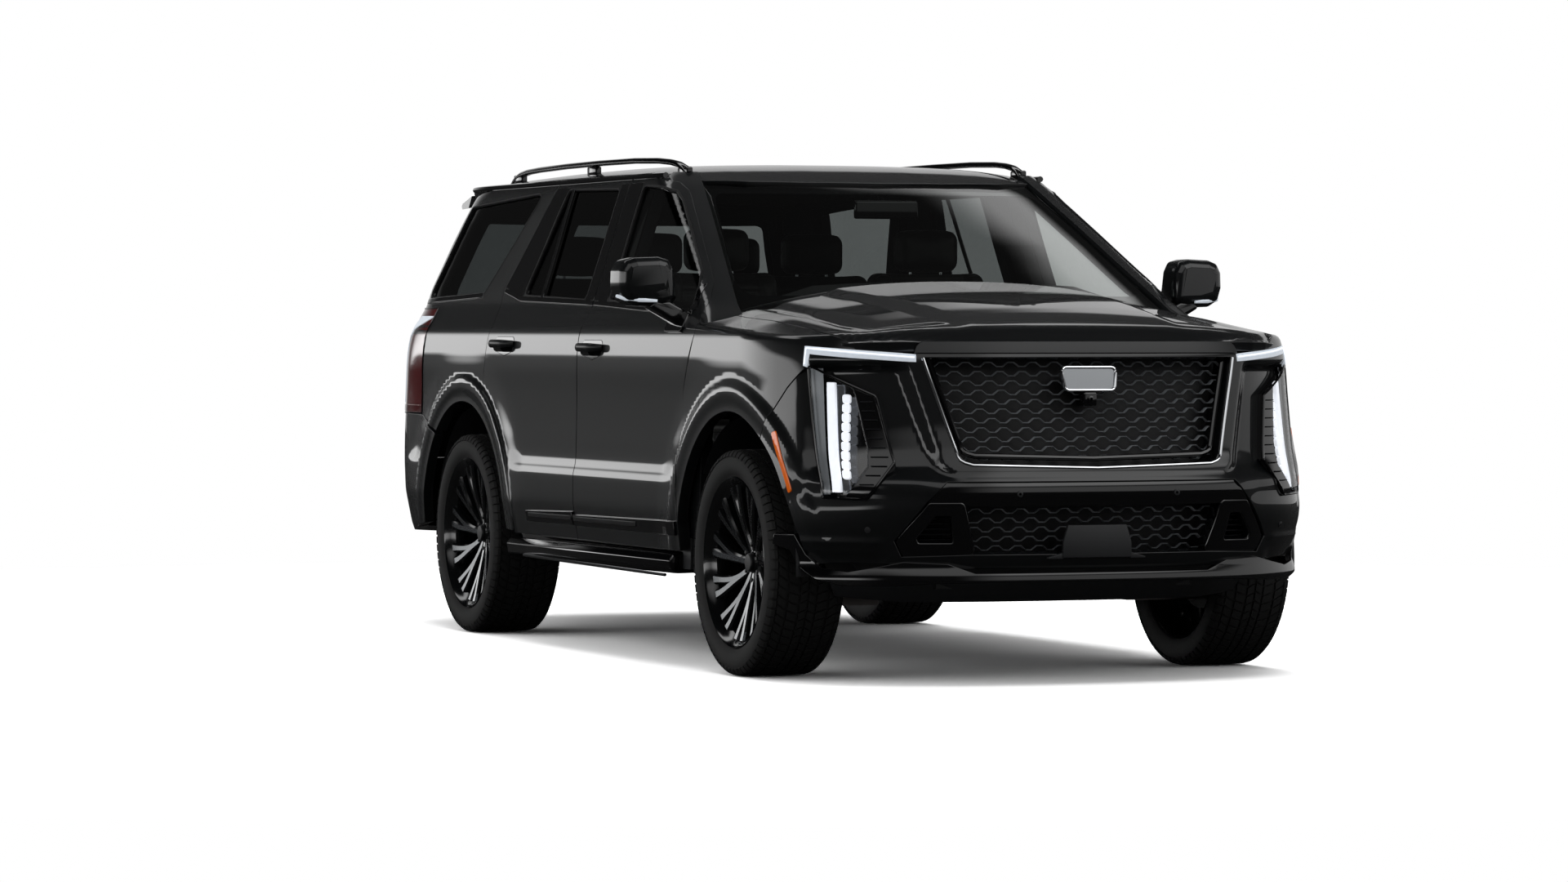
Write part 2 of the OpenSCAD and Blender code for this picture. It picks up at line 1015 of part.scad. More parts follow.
module wheel(y) {
    color("dimgray")
        translate([wheel_x, y, hub_z])
            rotate([0, 90, 0]) {
                rotate_extrude($fn = 96)
                    polygon([[rim_radius - 22, -130], [rim_radius, -130], [rim_radius, 130],
                        [rim_radius - 22, 130]]);
                difference() {
                    union() {
                        translate([0, 0, 60])
                            cylinder(h = 30, r = rim_radius - 21, $fn = 96);
                        translate([0, 0, -25])
                            cylinder(h = 86, r = 80);
                        translate([0, 0, -25])
                            cylinder(h = 25, r = disc_radius, $fn = 96);
                    }
                    for (i = [0:spoke_count - 1])
                        rotate(i * 360 / spoke_count)
                            translate([0, 0, 59])
                                linear_extrude(32)
                                    polygon([[100, -12], [270, -48], [270, 48], [100, 12]]);
                    translate([0, 0, -30])
                        cylinder(h = 60, r = spindle_radius + bore_clear);
                }
            }
}

module tyre(y) {
    color("black")
        translate([wheel_x, y, hub_z])
            rotate([0, 90, 0])
                rotate_extrude($fn = 120)
                    polygon([[rim_radius, -125], [tyre_radius - 40, -tyre_width / 2],
                        [tyre_radius - 15, -tyre_width / 2 + 8], [tyre_radius, -tyre_width / 2 + 30],
                        [tyre_radius, tyre_width / 2 - 30], [tyre_radius - 15, tyre_width / 2 - 8],
                        [tyre_radius - 40, tyre_width / 2], [rim_radius, 125]]);
}

module front_left_wheel() {
    wheel(front_y);
}

module front_right_wheel() {
    mirror([1, 0, 0])
        wheel(front_y);
}

module rear_left_wheel() {
    wheel(rear_y);
}

module rear_right_wheel() {
    mirror([1, 0, 0])
        wheel(rear_y);
}

module front_left_tyre() {
    tyre(front_y);
}

module front_right_tyre() {
    mirror([1, 0, 0])
        tyre(front_y);
}

module rear_left_tyre() {
    tyre(rear_y);
}

module rear_right_tyre() {
    mirror([1, 0, 0])
        tyre(rear_y);
}

plate_bracket();
floor_pan();
body_sides();
roof_panel();
firewall();
radiator_support();
front_fenders();
front_bumper();
grille();
headlamps();
rear_bumper();
tail_lamps();
windshield();
quarter_windows();
roof_rails();
running_boards();
chassis_frame();
front_arms();
engine();
prop_shaft();
exhaust();
fuel_tank();
rear_axle();
dashboard();
centre_console();
front_seats();
second_row_seats();
third_row_seat();
steering_wheel();
front_left_door();
front_right_door();
rear_left_door();
rear_right_door();
front_left_glass();
front_right_glass();
rear_left_glass();
rear_right_glass();
left_mirror();
right_mirror();
hood();
tailgate();
tailgate_glass();
left_knuckle();
right_knuckle();
front_left_wheel();
front_right_wheel();
rear_left_wheel();
rear_right_wheel();
front_left_tyre();
front_right_tyre();
rear_left_tyre();
rear_right_tyre();
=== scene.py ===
import json
import math
from functools import partial

import bmesh
import bpy
import numpy as np
from mathutils import Matrix, Vector
from mathutils.geometry import interpolate_bezier

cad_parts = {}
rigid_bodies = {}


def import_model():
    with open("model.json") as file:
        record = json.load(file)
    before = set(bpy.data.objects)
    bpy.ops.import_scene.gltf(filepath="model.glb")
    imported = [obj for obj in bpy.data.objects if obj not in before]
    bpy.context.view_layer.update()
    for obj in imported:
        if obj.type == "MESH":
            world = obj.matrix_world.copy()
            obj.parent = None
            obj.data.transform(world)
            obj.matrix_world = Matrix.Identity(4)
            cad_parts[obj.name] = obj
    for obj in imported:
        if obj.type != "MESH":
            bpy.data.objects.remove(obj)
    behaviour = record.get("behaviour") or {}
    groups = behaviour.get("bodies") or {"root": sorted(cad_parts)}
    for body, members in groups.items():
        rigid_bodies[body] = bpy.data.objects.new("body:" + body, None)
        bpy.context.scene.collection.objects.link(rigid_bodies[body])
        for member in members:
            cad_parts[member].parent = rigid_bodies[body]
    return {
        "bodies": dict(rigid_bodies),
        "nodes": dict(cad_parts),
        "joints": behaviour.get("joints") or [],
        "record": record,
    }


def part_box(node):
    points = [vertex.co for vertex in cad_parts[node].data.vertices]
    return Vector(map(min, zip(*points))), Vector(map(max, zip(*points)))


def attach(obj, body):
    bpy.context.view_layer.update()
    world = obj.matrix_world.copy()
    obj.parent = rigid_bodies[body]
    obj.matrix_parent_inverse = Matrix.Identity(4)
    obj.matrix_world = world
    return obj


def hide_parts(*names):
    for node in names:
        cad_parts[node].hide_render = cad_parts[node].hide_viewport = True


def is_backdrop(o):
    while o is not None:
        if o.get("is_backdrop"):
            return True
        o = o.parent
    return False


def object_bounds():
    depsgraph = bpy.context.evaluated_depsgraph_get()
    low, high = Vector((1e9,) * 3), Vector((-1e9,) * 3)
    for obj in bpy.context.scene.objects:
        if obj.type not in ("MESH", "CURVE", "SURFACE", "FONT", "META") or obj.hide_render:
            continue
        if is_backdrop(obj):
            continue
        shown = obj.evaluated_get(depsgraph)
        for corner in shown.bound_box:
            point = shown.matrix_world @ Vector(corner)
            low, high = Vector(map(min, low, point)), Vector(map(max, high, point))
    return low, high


bl_info = {
    "name": "Large SUV",
    "version": (1, 0, 0),
    "blender": (4, 5, 0),
    "location": "3D View > Sidebar > SUV",
    "description": "Models the visible pieces of a large SUV around its fixed frame",
    "category": "Add Mesh",
}

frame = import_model()
cad_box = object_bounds()

# ---------------------------------------------------------------- sizes, in metres
HALF_WIDTH = 1.025
NOSE = -2.691
TAIL = 2.691
FRONT_AXLE = -1.736
REAR_AXLE = 1.335
HUB_HEIGHT = 0.405
WHEEL_X = 0.87
ARCH_RADIUS = 0.541
FLARE_RADIUS = 0.640
GLASS_INSET = 0.012  # from the body's surface to the glass
WINDOW_CORNER = 0.03

# How square the plan of the body is, and how deep its ends curve
PLAN_POWER = 2.6
BODY_CURVE = 0.76
CABIN_CURVE_FRONT = 0.26
CABIN_CURVE_REAR = 0.74

# Height, inset of the side, setback of the nose, setback of the tail
BODY_ROWS = [
    (0.20, 0.100, 0.240, 0.260), (0.30, 0.045, 0.130, 0.150), (0.36, 0.028, 0.090, 0.100),
    (0.42, 0.015, 0.060, 0.060), (0.56, 0.000, 0.020, 0.015), (0.68, 0.000, 0.000, 0.000),
    (0.80, 0.000, 0.050, 0.005), (0.90, 0.001, 0.072, 0.013), (1.00, 0.002, 0.090, 0.025),
    (1.08, 0.002, 0.103, 0.034), (1.15, 0.005, 0.115, 0.045), (1.22, 0.014, 0.140, 0.060),
    (1.255, 0.028, 0.165, 0.067), (1.272, 0.042, 0.182, 0.070), (1.33, 0.075, 0.240, 0.080),
    (1.42, 0.105, 0.320, 0.095), (1.50, 0.132, 0.400, 0.110),
]
# Height, inset of the side, front, rear
CABIN_ROWS = [
    (1.10, 0.020, -1.900, 2.606), (1.20, 0.024, -1.722, 2.606), (1.272, 0.042, -1.593, 2.606),
    (1.33, 0.075, -1.488, 2.600), (1.407, 0.100, -1.350, 2.596), (1.50, 0.131, -1.182, 2.546),
    (1.60, 0.163, -1.003, 2.491), (1.70, 0.194, -0.818, 2.420), (1.79, 0.225, -0.650, 2.351),
    (1.84, 0.250, -0.545, 2.290), (1.90, 0.285, -0.400, 2.200),
]
# How far the doors and the rear quarters draw in between the flares: height, inset
WAIST_ROWS = [
    (0.30, 0.018), (0.43, 0.015), (0.50, 0.0115), (0.56, 0.0088), (0.60, 0.0070), (0.66, 0.0048),
    (0.688, 0.0045), (0.706, 0.0105), (0.72, 0.0125), (0.745, 0.0135), (0.78, 0.0130),
    (0.86, 0.0105), (0.94, 0.0075), (1.02, 0.0045), (1.10, 0.002), (1.18, 0.0005), (1.24, 0.0),
    (1.60, 0.0),
]
# Station, crown height, drop at the side of the hood and fenders
TOP_ROWS = [
    (-2.75, 1.110, 0.040), (-2.691, 1.150, 0.050), (-2.561, 1.195, 0.060), (-2.494, 1.245, 0.080),
    (-2.40, 1.274, 0.098), (-2.20, 1.308, 0.118), (-1.80, 1.366, 0.145), (-1.45, 1.401, 0.163),
    (-1.20, 1.425, 0.168),
]
# Across the roof: distance from the middle, drop; then along it: station, drop
ROOF_ACROSS = [(0.0, 0.0), (0.2, 0.0006), (0.385, 0.004), (0.52, 0.0085), (0.605, 0.0145),
               (0.68, 0.0235), (0.73, 0.0335), (0.763, 0.0435), (0.785, 0.055), (0.82, 0.085)]
ROOF_ALONG = [(-0.75, 0.125), (-0.62, 0.083), (-0.53, 0.0565), (-0.42, 0.035), (-0.30, 0.0195),
              (-0.12, 0.008), (0.15, 0.002), (0.45, 0.0), (1.0, 0.002), (1.5, 0.010),
              (1.831, 0.020), (2.071, 0.036), (2.20, 0.050), (2.281, 0.064), (2.351, 0.088)]


def smooth_rows(rows, blur=0.010, step=0.002):
    """Columns of a table sampled finely and rounded at their corners."""
    rows = np.array(rows, float)
    at = np.arange(rows[0, 0] - 6 * blur, rows[-1, 0] + 6 * blur, step)
    half = int(4 * blur / step)
    kernel = np.exp(-0.5 * (np.arange(-half, half + 1) * step / blur) ** 2)
    kernel /= kernel.sum()
    columns = []
    for c in range(1, rows.shape[1]):
        first = (rows[1, c] - rows[0, c]) / (rows[1, 0] - rows[0, 0])
        last = (rows[-1, c] - rows[-2, c]) / (rows[-1, 0] - rows[-2, 0])
        wide = np.concatenate([at[0] - step * np.arange(half, 0, -1), at,
                               at[-1] + step * np.arange(1, half + 1)])
        value = np.interp(wide, rows[:, 0], rows[:, c])
        value = np.where(wide < rows[0, 0], rows[0, c] + first * (wide - rows[0, 0]), value)
        value = np.where(wide > rows[-1, 0], rows[-1, c] + last * (wide - rows[-1, 0]), value)
        columns.append(np.convolve(value, kernel, "valid"))
    return at, columns


BODY = smooth_rows(BODY_ROWS, 0.014)
CABIN = smooth_rows(CABIN_ROWS, 0.012)
WAIST = smooth_rows(WAIST_ROWS, 0.007)
TOP = smooth_rows(TOP_ROWS, 0.03)
ACROSS = smooth_rows(ROOF_ACROSS, 0.02)
ALONG = smooth_rows(ROOF_ALONG, 0.06)


def look_up(table, column, at):
    """A value of a smoothed table at a height or a station."""
    return np.interp(at, table[0], table[1][column])


def smoothstep(a, b, value):
    """Rises smoothly from 0 at a to 1 at b."""
    t = np.clip((value - a) / (b - a), 0, 1)
    return t * t * (3 - 2 * t)


def bump(value, middle, width):
    """A smooth hump of height 1 round its middle."""
    return np.exp(-(((value - middle) / width) ** 2))


# ---------------------------------------------------------------- the body's surfaces
# Every surface turns two coordinates into a point, so a panel is cut flat and then laid on it.

def arc_table(width, depth):
    """Turn, distance round, and the two unit coordinates of a rounded end."""
    even = np.linspace(0, 1, 2001)
    turn = np.unique(np.concatenate([np.arcsin(even ** (PLAN_POWER / 2)),
                                     np.arccos(even ** (PLAN_POWER / 2))]))
    across, along = np.sin(turn) ** (2 / PLAN_POWER), 1 - np.cos(turn) ** (2 / PLAN_POWER)
    step = np.hypot(np.diff(across) * width, np.diff(along) * depth)
    return turn, np.concatenate([[0], np.cumsum(step)]), across, along


BODY_END = arc_table(HALF_WIDTH, BODY_CURVE)
CORNER = BODY_END[1][-1]
CABIN_END = arc_table(0.85, CABIN_CURVE_FRONT)
CORNER_C = CABIN_END[1][-1]


def ring(distance, table, width, start, depth, sign):
    """A point on one end's ring, from its distance round the ring and the ring's own sizes."""
    s = np.abs(distance)
    _, length, across, along = table
    x = width * np.interp(s, length, across)
    y = depth * np.interp(s, length, along) + np.maximum(s - length[-1], 0)
    return np.sign(distance) * x, start + sign * y


def arch_distance(y, z):
    """How far a point of the side is from the nearer wheel's axis."""
    return np.minimum(np.hypot(y - FRONT_AXLE, z - HUB_HEIGHT),
                      np.hypot(y - REAR_AXLE, z - HUB_HEIGHT))


def waist(y, z):
    """How far the side draws in at a point, which is nothing on the flares."""
    far = smoothstep(FLARE_RADIUS - 0.014, FLARE_RADIUS + 0.016, arch_distance(y, z))
    ahead = smoothstep(-2.30, -2.12, y)
    behind = 1 - smoothstep(1.95, 2.15, y)
    flare = -0.006 * (1 - far) * smoothstep(0.56, 0.60, arch_distance(y, z))
    front_blend = smoothstep(FLARE_RADIUS, FLARE_RADIUS + 0.16, arch_distance(y, z))
    depth = look_up(WAIST, 0, z) * (0.35 + 0.65 * front_blend)
    return depth * far * ahead * behind + 0.007 * far * ahead * behind * bump(z, 1.0, 0.30) + flare


def front_wrap(s, z):
    """The lower body from the nose round to the doors: distance from the middle, height."""
    width = HALF_WIDTH - look_up(BODY, 0, z)
    x, y = ring(s, BODY_END, width, NOSE + look_up(BODY, 1, z), BODY_CURVE, 1)
    x = x - np.sign(s) * waist(y, z) * smoothstep(0.85, 0.97, np.abs(x))
    return np.stack([x, y, z + 0 * x], -1)


def rear_wrap(s, z):
    """The lower body from the tail round to the doors."""
    width = HALF_WIDTH - look_up(BODY, 0, z)
    x, y = ring(s, BODY_END, width, TAIL - look_up(BODY, 2, z), BODY_CURVE, -1)
    x = x - np.sign(s) * waist(y, z) * smoothstep(0.85, 0.97, np.abs(x))
    return np.stack([x, y, z + 0 * x], -1)


def side(y, z):
    """The left side, from station and height."""
    low = HALF_WIDTH - look_up(BODY, 0, z) - waist(y, z)
    high = HALF_WIDTH - look_up(CABIN, 0, z)
    mix = smoothstep(1.25, 1.30, z)
    width = low * (1 - mix) + high * mix
    front = np.clip((look_up(CABIN, 1, z) + CABIN_CURVE_FRONT - y) / CABIN_CURVE_FRONT, 0, 0.999)
    rear = np.clip((y - look_up(CABIN, 2, z) + CABIN_CURVE_REAR) / CABIN_CURVE_REAR, 0, 0.999)
    x = width * (1 - mix * front ** PLAN_POWER) ** (1 / PLAN_POWER)
    x = x * (1 - mix * rear ** PLAN_POWER) ** (1 / PLAN_POWER)
    low_rear = np.clip((y - TAIL + look_up(BODY, 2, z) + BODY_CURVE) / BODY_CURVE, 0, 0.999)
    x = x * (1 - (1 - mix) * low_rear ** PLAN_POWER) ** (1 / PLAN_POWER)
    return np.stack([x, y, z + 0 * x], -1)


def cabin_front(s, z):
    """The windshield and its pillars: distance round from the middle, height."""
    width = HALF_WIDTH - look_up(CABIN, 0, z)
    x, y = ring(s, CABIN_END, width, look_up(CABIN, 1, z), CABIN_CURVE_FRONT, 1)
    return np.stack([x, y, z + 0 * x], -1)


def tail_setback(z):
    """Where the back of the car stands at each height."""
    mix = smoothstep(1.20, 1.34, z)
    return (TAIL - look_up(BODY, 2, z)) * (1 - mix) + look_up(CABIN, 2, z) * mix


def tail(s, z):
    """The back of the body from the bumper to the roof: distance round from the middle, height."""
    mix = smoothstep(1.22, 1.32, z)
    width = HALF_WIDTH - look_up(BODY, 0, z) * (1 - mix) - look_up(CABIN, 0, z) * mix
    depth = BODY_CURVE * (1 - mix) + CABIN_CURVE_REAR * mix
    x, y = ring(s, BODY_END, width, tail_setback(z), depth, -1)
    x = x - np.sign(s) * waist(y, z) * smoothstep(0.85, 0.97, np.abs(x)) * (1 - mix)
    return np.stack([x, y, z + 0 * x], -1)


def hood_top(x, y):
    """The hood and the tops of the fenders, from above."""
    crown = look_up(TOP, 0, y)
    drop = look_up(TOP, 1, y)
    z = crown - drop * np.abs(x / 1.075) ** 2.2
    # a raised centre with a crease along each side, and a dip outboard of it
    edge = 0.40 + 0.10 * smoothstep(-2.5, -1.4, y)
    fade = smoothstep(-2.50, -2.30, y)
    dome = 0.016 * (1 - smoothstep(edge - 0.035, edge + 0.045, np.abs(x)))
    swoosh = 0.73 + 0.02 * (y + 1.9)
    groove = -0.012 * bump(np.abs(x), swoosh, 0.045) * smoothstep(-2.42, -2.1, y)
    z = z + (dome - 0.010) * fade + groove
    return np.stack([x + 0 * z, y + 0 * z, z], -1)


def roof_top(x, y):
    """The roof, from above."""
    z = 1.884 - look_up(ACROSS, 0, np.abs(x)) - look_up(ALONG, 0, y)
    return np.stack([x + 0 * z, y + 0 * z, z], -1)


def side_s(y, z, end=-1):
    """Distance round the nose, or the tail where end is 1, of a point of the side at y."""
    if end < 0:
        start = NOSE + float(look_up(BODY, 1, z))
        run = y - start
    else:
        start = float(tail_setback(z))
        run = start - y
    if run >= BODY_CURVE:
        return CORNER + run - BODY_CURVE
    turn = math.acos(min(1, max(0, 1 - run / BODY_CURVE)) ** (PLAN_POWER / 2))
    return float(np.interp(turn, BODY_END[0], BODY_END[1]))


def tail_s(x, z):
    """Distance round the tail of a point at x."""
    mix = float(smoothstep(1.22, 1.32, z))
    width = HALF_WIDTH - float(look_up(BODY, 0, z)) * (1 - mix) - float(look_up(CABIN, 0, z)) * mix
    turn = math.asin(min(1, abs(x) / width) ** (PLAN_POWER / 2))
    return math.copysign(float(np.interp(turn, BODY_END[0], BODY_END[1])), x)


def cabin_s(x, z):
    """Distance round the windshield of a point at x."""
    width = HALF_WIDTH - float(look_up(CABIN, 0, z))
    turn = math.asin(min(1, abs(x) / width) ** (PLAN_POWER / 2))
    return math.copysign(float(np.interp(turn, CABIN_END[0], CABIN_END[1])), x)


def cabin_side_s(y, z):
    """Distance round the windshield of a point of the cabin side at y."""
    run = y - float(look_up(CABIN, 1, z))
    if run >= CABIN_CURVE_FRONT:
        return CORNER_C + run - CABIN_CURVE_FRONT
    turn = math.acos(min(1, max(0, 1 - run / CABIN_CURVE_FRONT)) ** (PLAN_POWER / 2))
    return float(np.interp(turn, CABIN_END[0], CABIN_END[1]))


# ---------------------------------------------------------------- outlines
def dense(points, step=0.03):
    """A closed outline with its long edges divided."""
    out = []
    for a, b in zip(points, points[1:] + points[:1]):
        parts = max(1, int(math.hypot(b[0] - a[0], b[1] - a[1]) / step))
        out += [(a[0] + (b[0] - a[0]) * i / parts, a[1] + (b[1] - a[1]) * i / parts)
                for i in range(parts)]
    return out


def rounded(points, radius, segments=4):
    """A closed outline with its corners rounded."""
    out = []
    count = len(points)
    for i in range(count):
        p, q, r = (Vector(points[(i + k) % count][:2]) for k in (-1, 0, 1))
        a, b = (p - q), (r - q)
        turn = a.angle(b, math.pi)
        if turn > math.radians(172) or radius <= 0:
            out.append(tuple(q))
            continue
        reach = min(radius / math.tan(turn / 2), a.length * 0.45, b.length * 0.45)
        start, end = q + a.normalized() * reach, q + b.normalized() * reach
        out += [tuple(v)[:2] for v in interpolate_bezier(
            start.to_3d(), start.lerp(q, 0.56).to_3d(), end.lerp(q, 0.56).to_3d(), end.to_3d(),
            segments + 1)]
    return out


def grown(points, amount):
    """A closed outline moved outwards."""
    area = sum(a[0] * b[1] - b[0] * a[1] for a, b in zip(points, points[1:] + points[:1]))
    turn = 1 if area > 0 else -1
    out = []
    count = len(points)
    for i in range(count):
        p, q, r = (Vector(points[(i + k) % count][:2]) for k in (-1, 0, 1))
        a, b = (q - p).normalized(), (r - q).normalized()
        na, nb = Vector((a.y, -a.x)) * turn, Vector((b.y, -b.x)) * turn
        mid = na + nb
        if mid.length < 1e-6:
            mid = na
        mid.normalize()
        out.append(tuple(q + mid * amount / max(0.35, mid.dot(na))))
    return out


def arc(centre, radius, start, end, count):
    """Points on an arc, in degrees anticlockwise from the first axis."""
    return [(centre[0] + radius * math.cos(math.radians(start + (end - start) * i / count)),
             centre[1] + radius * math.sin(math.radians(start + (end - start) * i / count)))
            for i in range(count + 1)]


def inside(p, loop):
    """Whether a point is inside a closed outline."""
    hit = False
    x, y = p[0], p[1]
    for (ax, ay), (bx, by) in zip(loop, loop[1:] + loop[:1]):
        if (ay > y) != (by > y) and x < (bx - ax) * (y - ay) / (by - ay) + ax:
            hit = not hit
    return hit


# ---------------------------------------------------------------- meshes
def trim(bm, loop, keep=True):
    """Cuts a flat mesh along a closed outline and keeps what is inside it, or outside."""
    for a, b in zip(loop, loop[1:] + loop[:1]):
        a, b = Vector((a[0], a[1], 0)), Vector((b[0], b[1], 0))
        run = b - a
        if run.length < 1e-5:
            continue
        low = (min(a.x, b.x) - 1e-4, min(a.y, b.y) - 1e-4)
        high = (max(a.x, b.x) + 1e-4, max(a.y, b.y) + 1e-4)
        faces = []
        for f in bm.faces:
            xs = [v.co.x for v in f.verts]
            if min(xs) > high[0] or max(xs) < low[0]:
                continue
            ys = [v.co.y for v in f.verts]
            if min(ys) > high[1] or max(ys) < low[1]:
                continue
            faces.append(f)
        geom = faces + list({e for f in faces for e in f.edges}) + list(
            {v for f in faces for v in f.verts})
        bmesh.ops.bisect_plane(bm, geom=geom, dist=2e-5, plane_co=a,
                               plane_no=Vector((-run.y, run.x, 0)).normalized())
    gone = [f for f in bm.faces if inside(f.calc_center_median(), loop) != keep]
    bmesh.ops.delete(bm, geom=gone, context="FACES")


def flat_sheet(loop, holes, step):
    """A flat grid trimmed to an outline and its holes."""
    us, vs = [p[0] for p in loop], [p[1] for p in loop]
    if not isinstance(step, tuple):
        step = (step, step)
    wide, high = max(us) - min(us) + 0.002, max(vs) - min(vs) + 0.002
    bm = bmesh.new()
    bmesh.ops.create_grid(bm, x_segments=max(1, round(wide / step[0])),
                          y_segments=max(1, round(high / step[1])), size=0.5)
    bmesh.ops.scale(bm, vec=(wide, high, 1), verts=bm.verts)
    bmesh.ops.translate(bm, vec=((max(us) + min(us)) / 2, (max(vs) + min(vs)) / 2, 0),
                        verts=bm.verts)
    trim(bm, loop)
    for hole in holes:
        trim(bm, hole, keep=False)
    bmesh.ops.remove_doubles(bm, verts=bm.verts, dist=3e-4)
    return bm


def surface_normals(surface, u, v, depth_sign):
    """A surface's normals at points, turned over where depth_sign is -1."""
    d = 0.004
    du = surface(u + d, v) - surface(u - d, v)
    dv = surface(u, v + d) - surface(u, v - d)
    n = np.cross(du, dv)
    n /= np.maximum(np.linalg.norm(n, axis=-1, keepdims=True), 1e-12)
    return n * depth_sign


# Rounded lip of a panel's edge: outwards, inwards
LIP = [(0.0013, 0.0003), (0.0022, 0.0012), (0.0026, 0.0026)]
LINING_LIP = [(0.004, 0.001), (0.007, 0.006)]


def lay(bm, surface, facing, lift):
    """Lays a flat mesh on a surface, and keeps the surface's normal at each of its points."""
    skin = bm.verts.layers.float_vector.new("skin")
    verts = list(bm.verts)
    uv = np.array([v.co[:2] for v in verts])
    place = surface(uv[:, 0], uv[:, 1])
    normal = surface_normals(surface, uv[:, 0], uv[:, 1], facing)
    if lift:
        place = place + normal * lift
    for v, p, n in zip(verts, place, normal):
        v.co = p
        v[skin] = n
    bm.normal_update()
    if sum(f.normal.dot(f.verts[0][skin]) for f in bm.faces) < 0:
        bmesh.ops.reverse_faces(bm, faces=bm.faces)
    return skin


def turn_edge(bm, skin, profile):
    """Turns the edges of a sheet inwards by a profile of (outwards, inwards) steps."""
    rim = [e for e in bm.edges if e.is_boundary]
    way = {}
    for e in rim:
        n = (Vector(e.verts[0][skin]) + Vector(e.verts[1][skin])).normalized()
        out = (e.verts[1].co - e.verts[0].co).cross(n)
        if out.length < 1e-9:
            continue
        out.normalize()
        if out.dot(e.link_faces[0].calc_center_median() - e.verts[0].co) > 0:
            out = -out
        for v in e.verts:
            way[v] = way.get(v, Vector()) + out
    # each new ring's points go by the place, normal and direction of the rim's own points
    root = {v: (v.co.copy(), Vector(v[skin]), w.normalized()) for v, w in way.items()}
    edges = [e for e in rim if e.verts[0] in root and e.verts[1] in root]
    last = root
    for out_by, in_by in profile:
        made = bmesh.ops.extrude_edge_only(bm, edges=edges)["geom"]
        fresh = {}
        for v in [g for g in made if isinstance(g, bmesh.types.BMVert)]:
            for e in v.link_edges:
                before = e.other_vert(v)
                if before in last:
                    fresh[v] = last[before]
        for v, (co, n, w) in fresh.items():
            v.co = co + w * out_by - n * in_by
            v[skin] = (0, 0, 0)
        edges = [g for g in made if isinstance(g, bmesh.types.BMEdge)
                 and g.verts[0] in fresh and g.verts[1] in fresh]
        last = fresh


def panel(loop, surface, step=0.026, holes=(), depth=0.03, facing=1, lip=LIP, lift=0.0,
          closed=False):
    """A panel cut to an outline, laid on a surface, with a rounded edge turned inwards.

    facing is -1 where the surface's own normal points into the car, lift raises the panel
    off its surface, and closed gives it a back face."""
    bm = flat_sheet(loop, holes, step)
    skin = lay(bm, surface, facing, lift)
    if depth > 0:
        turn_edge(bm, skin, list(lip) + [(lip[-1][0] if lip else 0, depth)])
    if closed:
        sheet = [f for f in bm.faces if all(Vector(v[skin]).length > 0.5 for v in f.verts)]
        made = bmesh.ops.duplicate(bm, geom=sheet)["geom"]
        for v in [g for g in made if isinstance(g, bmesh.types.BMVert)]:
            v.co -= Vector(v[skin]) * depth
            v[skin] = -Vector(v[skin])
        bmesh.ops.reverse_faces(bm, faces=[g for g in made if isinstance(g, bmesh.types.BMFace)])
    return bm


def mirrored(bm, keep=True):
    """The mesh and, unless keep is off, only its mirror image on the other side."""
    skin = bm.verts.layers.float_vector.get("skin")
    geom = list(bm.verts) + list(bm.edges) + list(bm.faces)
    made = bmesh.ops.duplicate(bm, geom=geom)["geom"]
    verts = [g for g in made if isinstance(g, bmesh.types.BMVert)]
    faces = [g for g in made if isinstance(g, bmesh.types.BMFace)]
    bmesh.ops.scale(bm, vec=(-1, 1, 1), verts=verts)
    bmesh.ops.reverse_faces(bm, faces=faces)
    if skin:
        for v in verts:
            n = v[skin]
            v[skin] = (-n[0], n[1], n[2])
    if not keep:
        bmesh.ops.delete(bm, geom=[g for g in geom if isinstance(g, bmesh.types.BMVert)],
                         context="VERTS")
    return bm


def joined(*meshes):
    """One mesh made of several, each with its own skin normals."""
    out = bmesh.new()
    layer = out.verts.layers.float_vector.new("skin")
    for bm in meshes:
        held = bpy.data.meshes.new("part")
        skin = bm.verts.layers.float_vector.get("skin")
        normals = [tuple(v[skin]) for v in bm.verts] if skin else None
        bm.verts.index_update()
        bm.to_mesh(held)
        bm.free()
        before = len(out.verts)
        out.from_mesh(held)
        bpy.data.meshes.remove(held)
        out.verts.ensure_lookup_table()
        layer = out.verts.layers.float_vector.get("skin")
        for i in range(before, len(out.verts)):
            out.verts[i][layer] = normals[i - before] if normals else (0, 0, 0)
    return out


def finish_mesh(name, bm, material, smooth=40):
    """Makes the object of a mesh, shaded smooth but for edges sharper than an angle."""
    for f in bm.faces:
        f.smooth = True
    for e in bm.edges:
        e.smooth = len(e.link_faces) == 2 and e.calc_face_angle(3.2) < math.radians(smooth)
    skin = bm.verts.layers.float_vector.get("skin")
    normals = [Vector(v[skin]) for v in bm.verts] if skin else None
    bm.verts.index_update()
    mesh = bpy.data.meshes.new(name)
    bm.to_mesh(mesh)
    bm.free()
    if normals and any(n.length > 0.5 for n in normals):
        use = [normals[l.vertex_index] for l in mesh.loops]
        mesh.normals_split_custom_set([tuple(n) if n.length > 0.5 else (0, 0, 0) for n in use])
    if "skin" in mesh.attributes:
        mesh.attributes.remove(mesh.attributes["skin"])
    for m in material if isinstance(material, (list, tuple)) else [material]:
        mesh.materials.append(m)
    piece = bpy.data.objects.new(name, mesh)
    bpy.context.scene.collection.objects.link(piece)
    return piece


def place(name, bm, material, body="body", slot="moulded_trim", replaces=(), smooth=40):
    """Finishes a piece, sets it on its body, and hides the parts of the frame that it stands for;
    its slot is not used.
    """
    piece = finish_mesh(name, bm, material, smooth)
    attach(piece, body)
    if replaces:
        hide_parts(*replaces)
    return piece


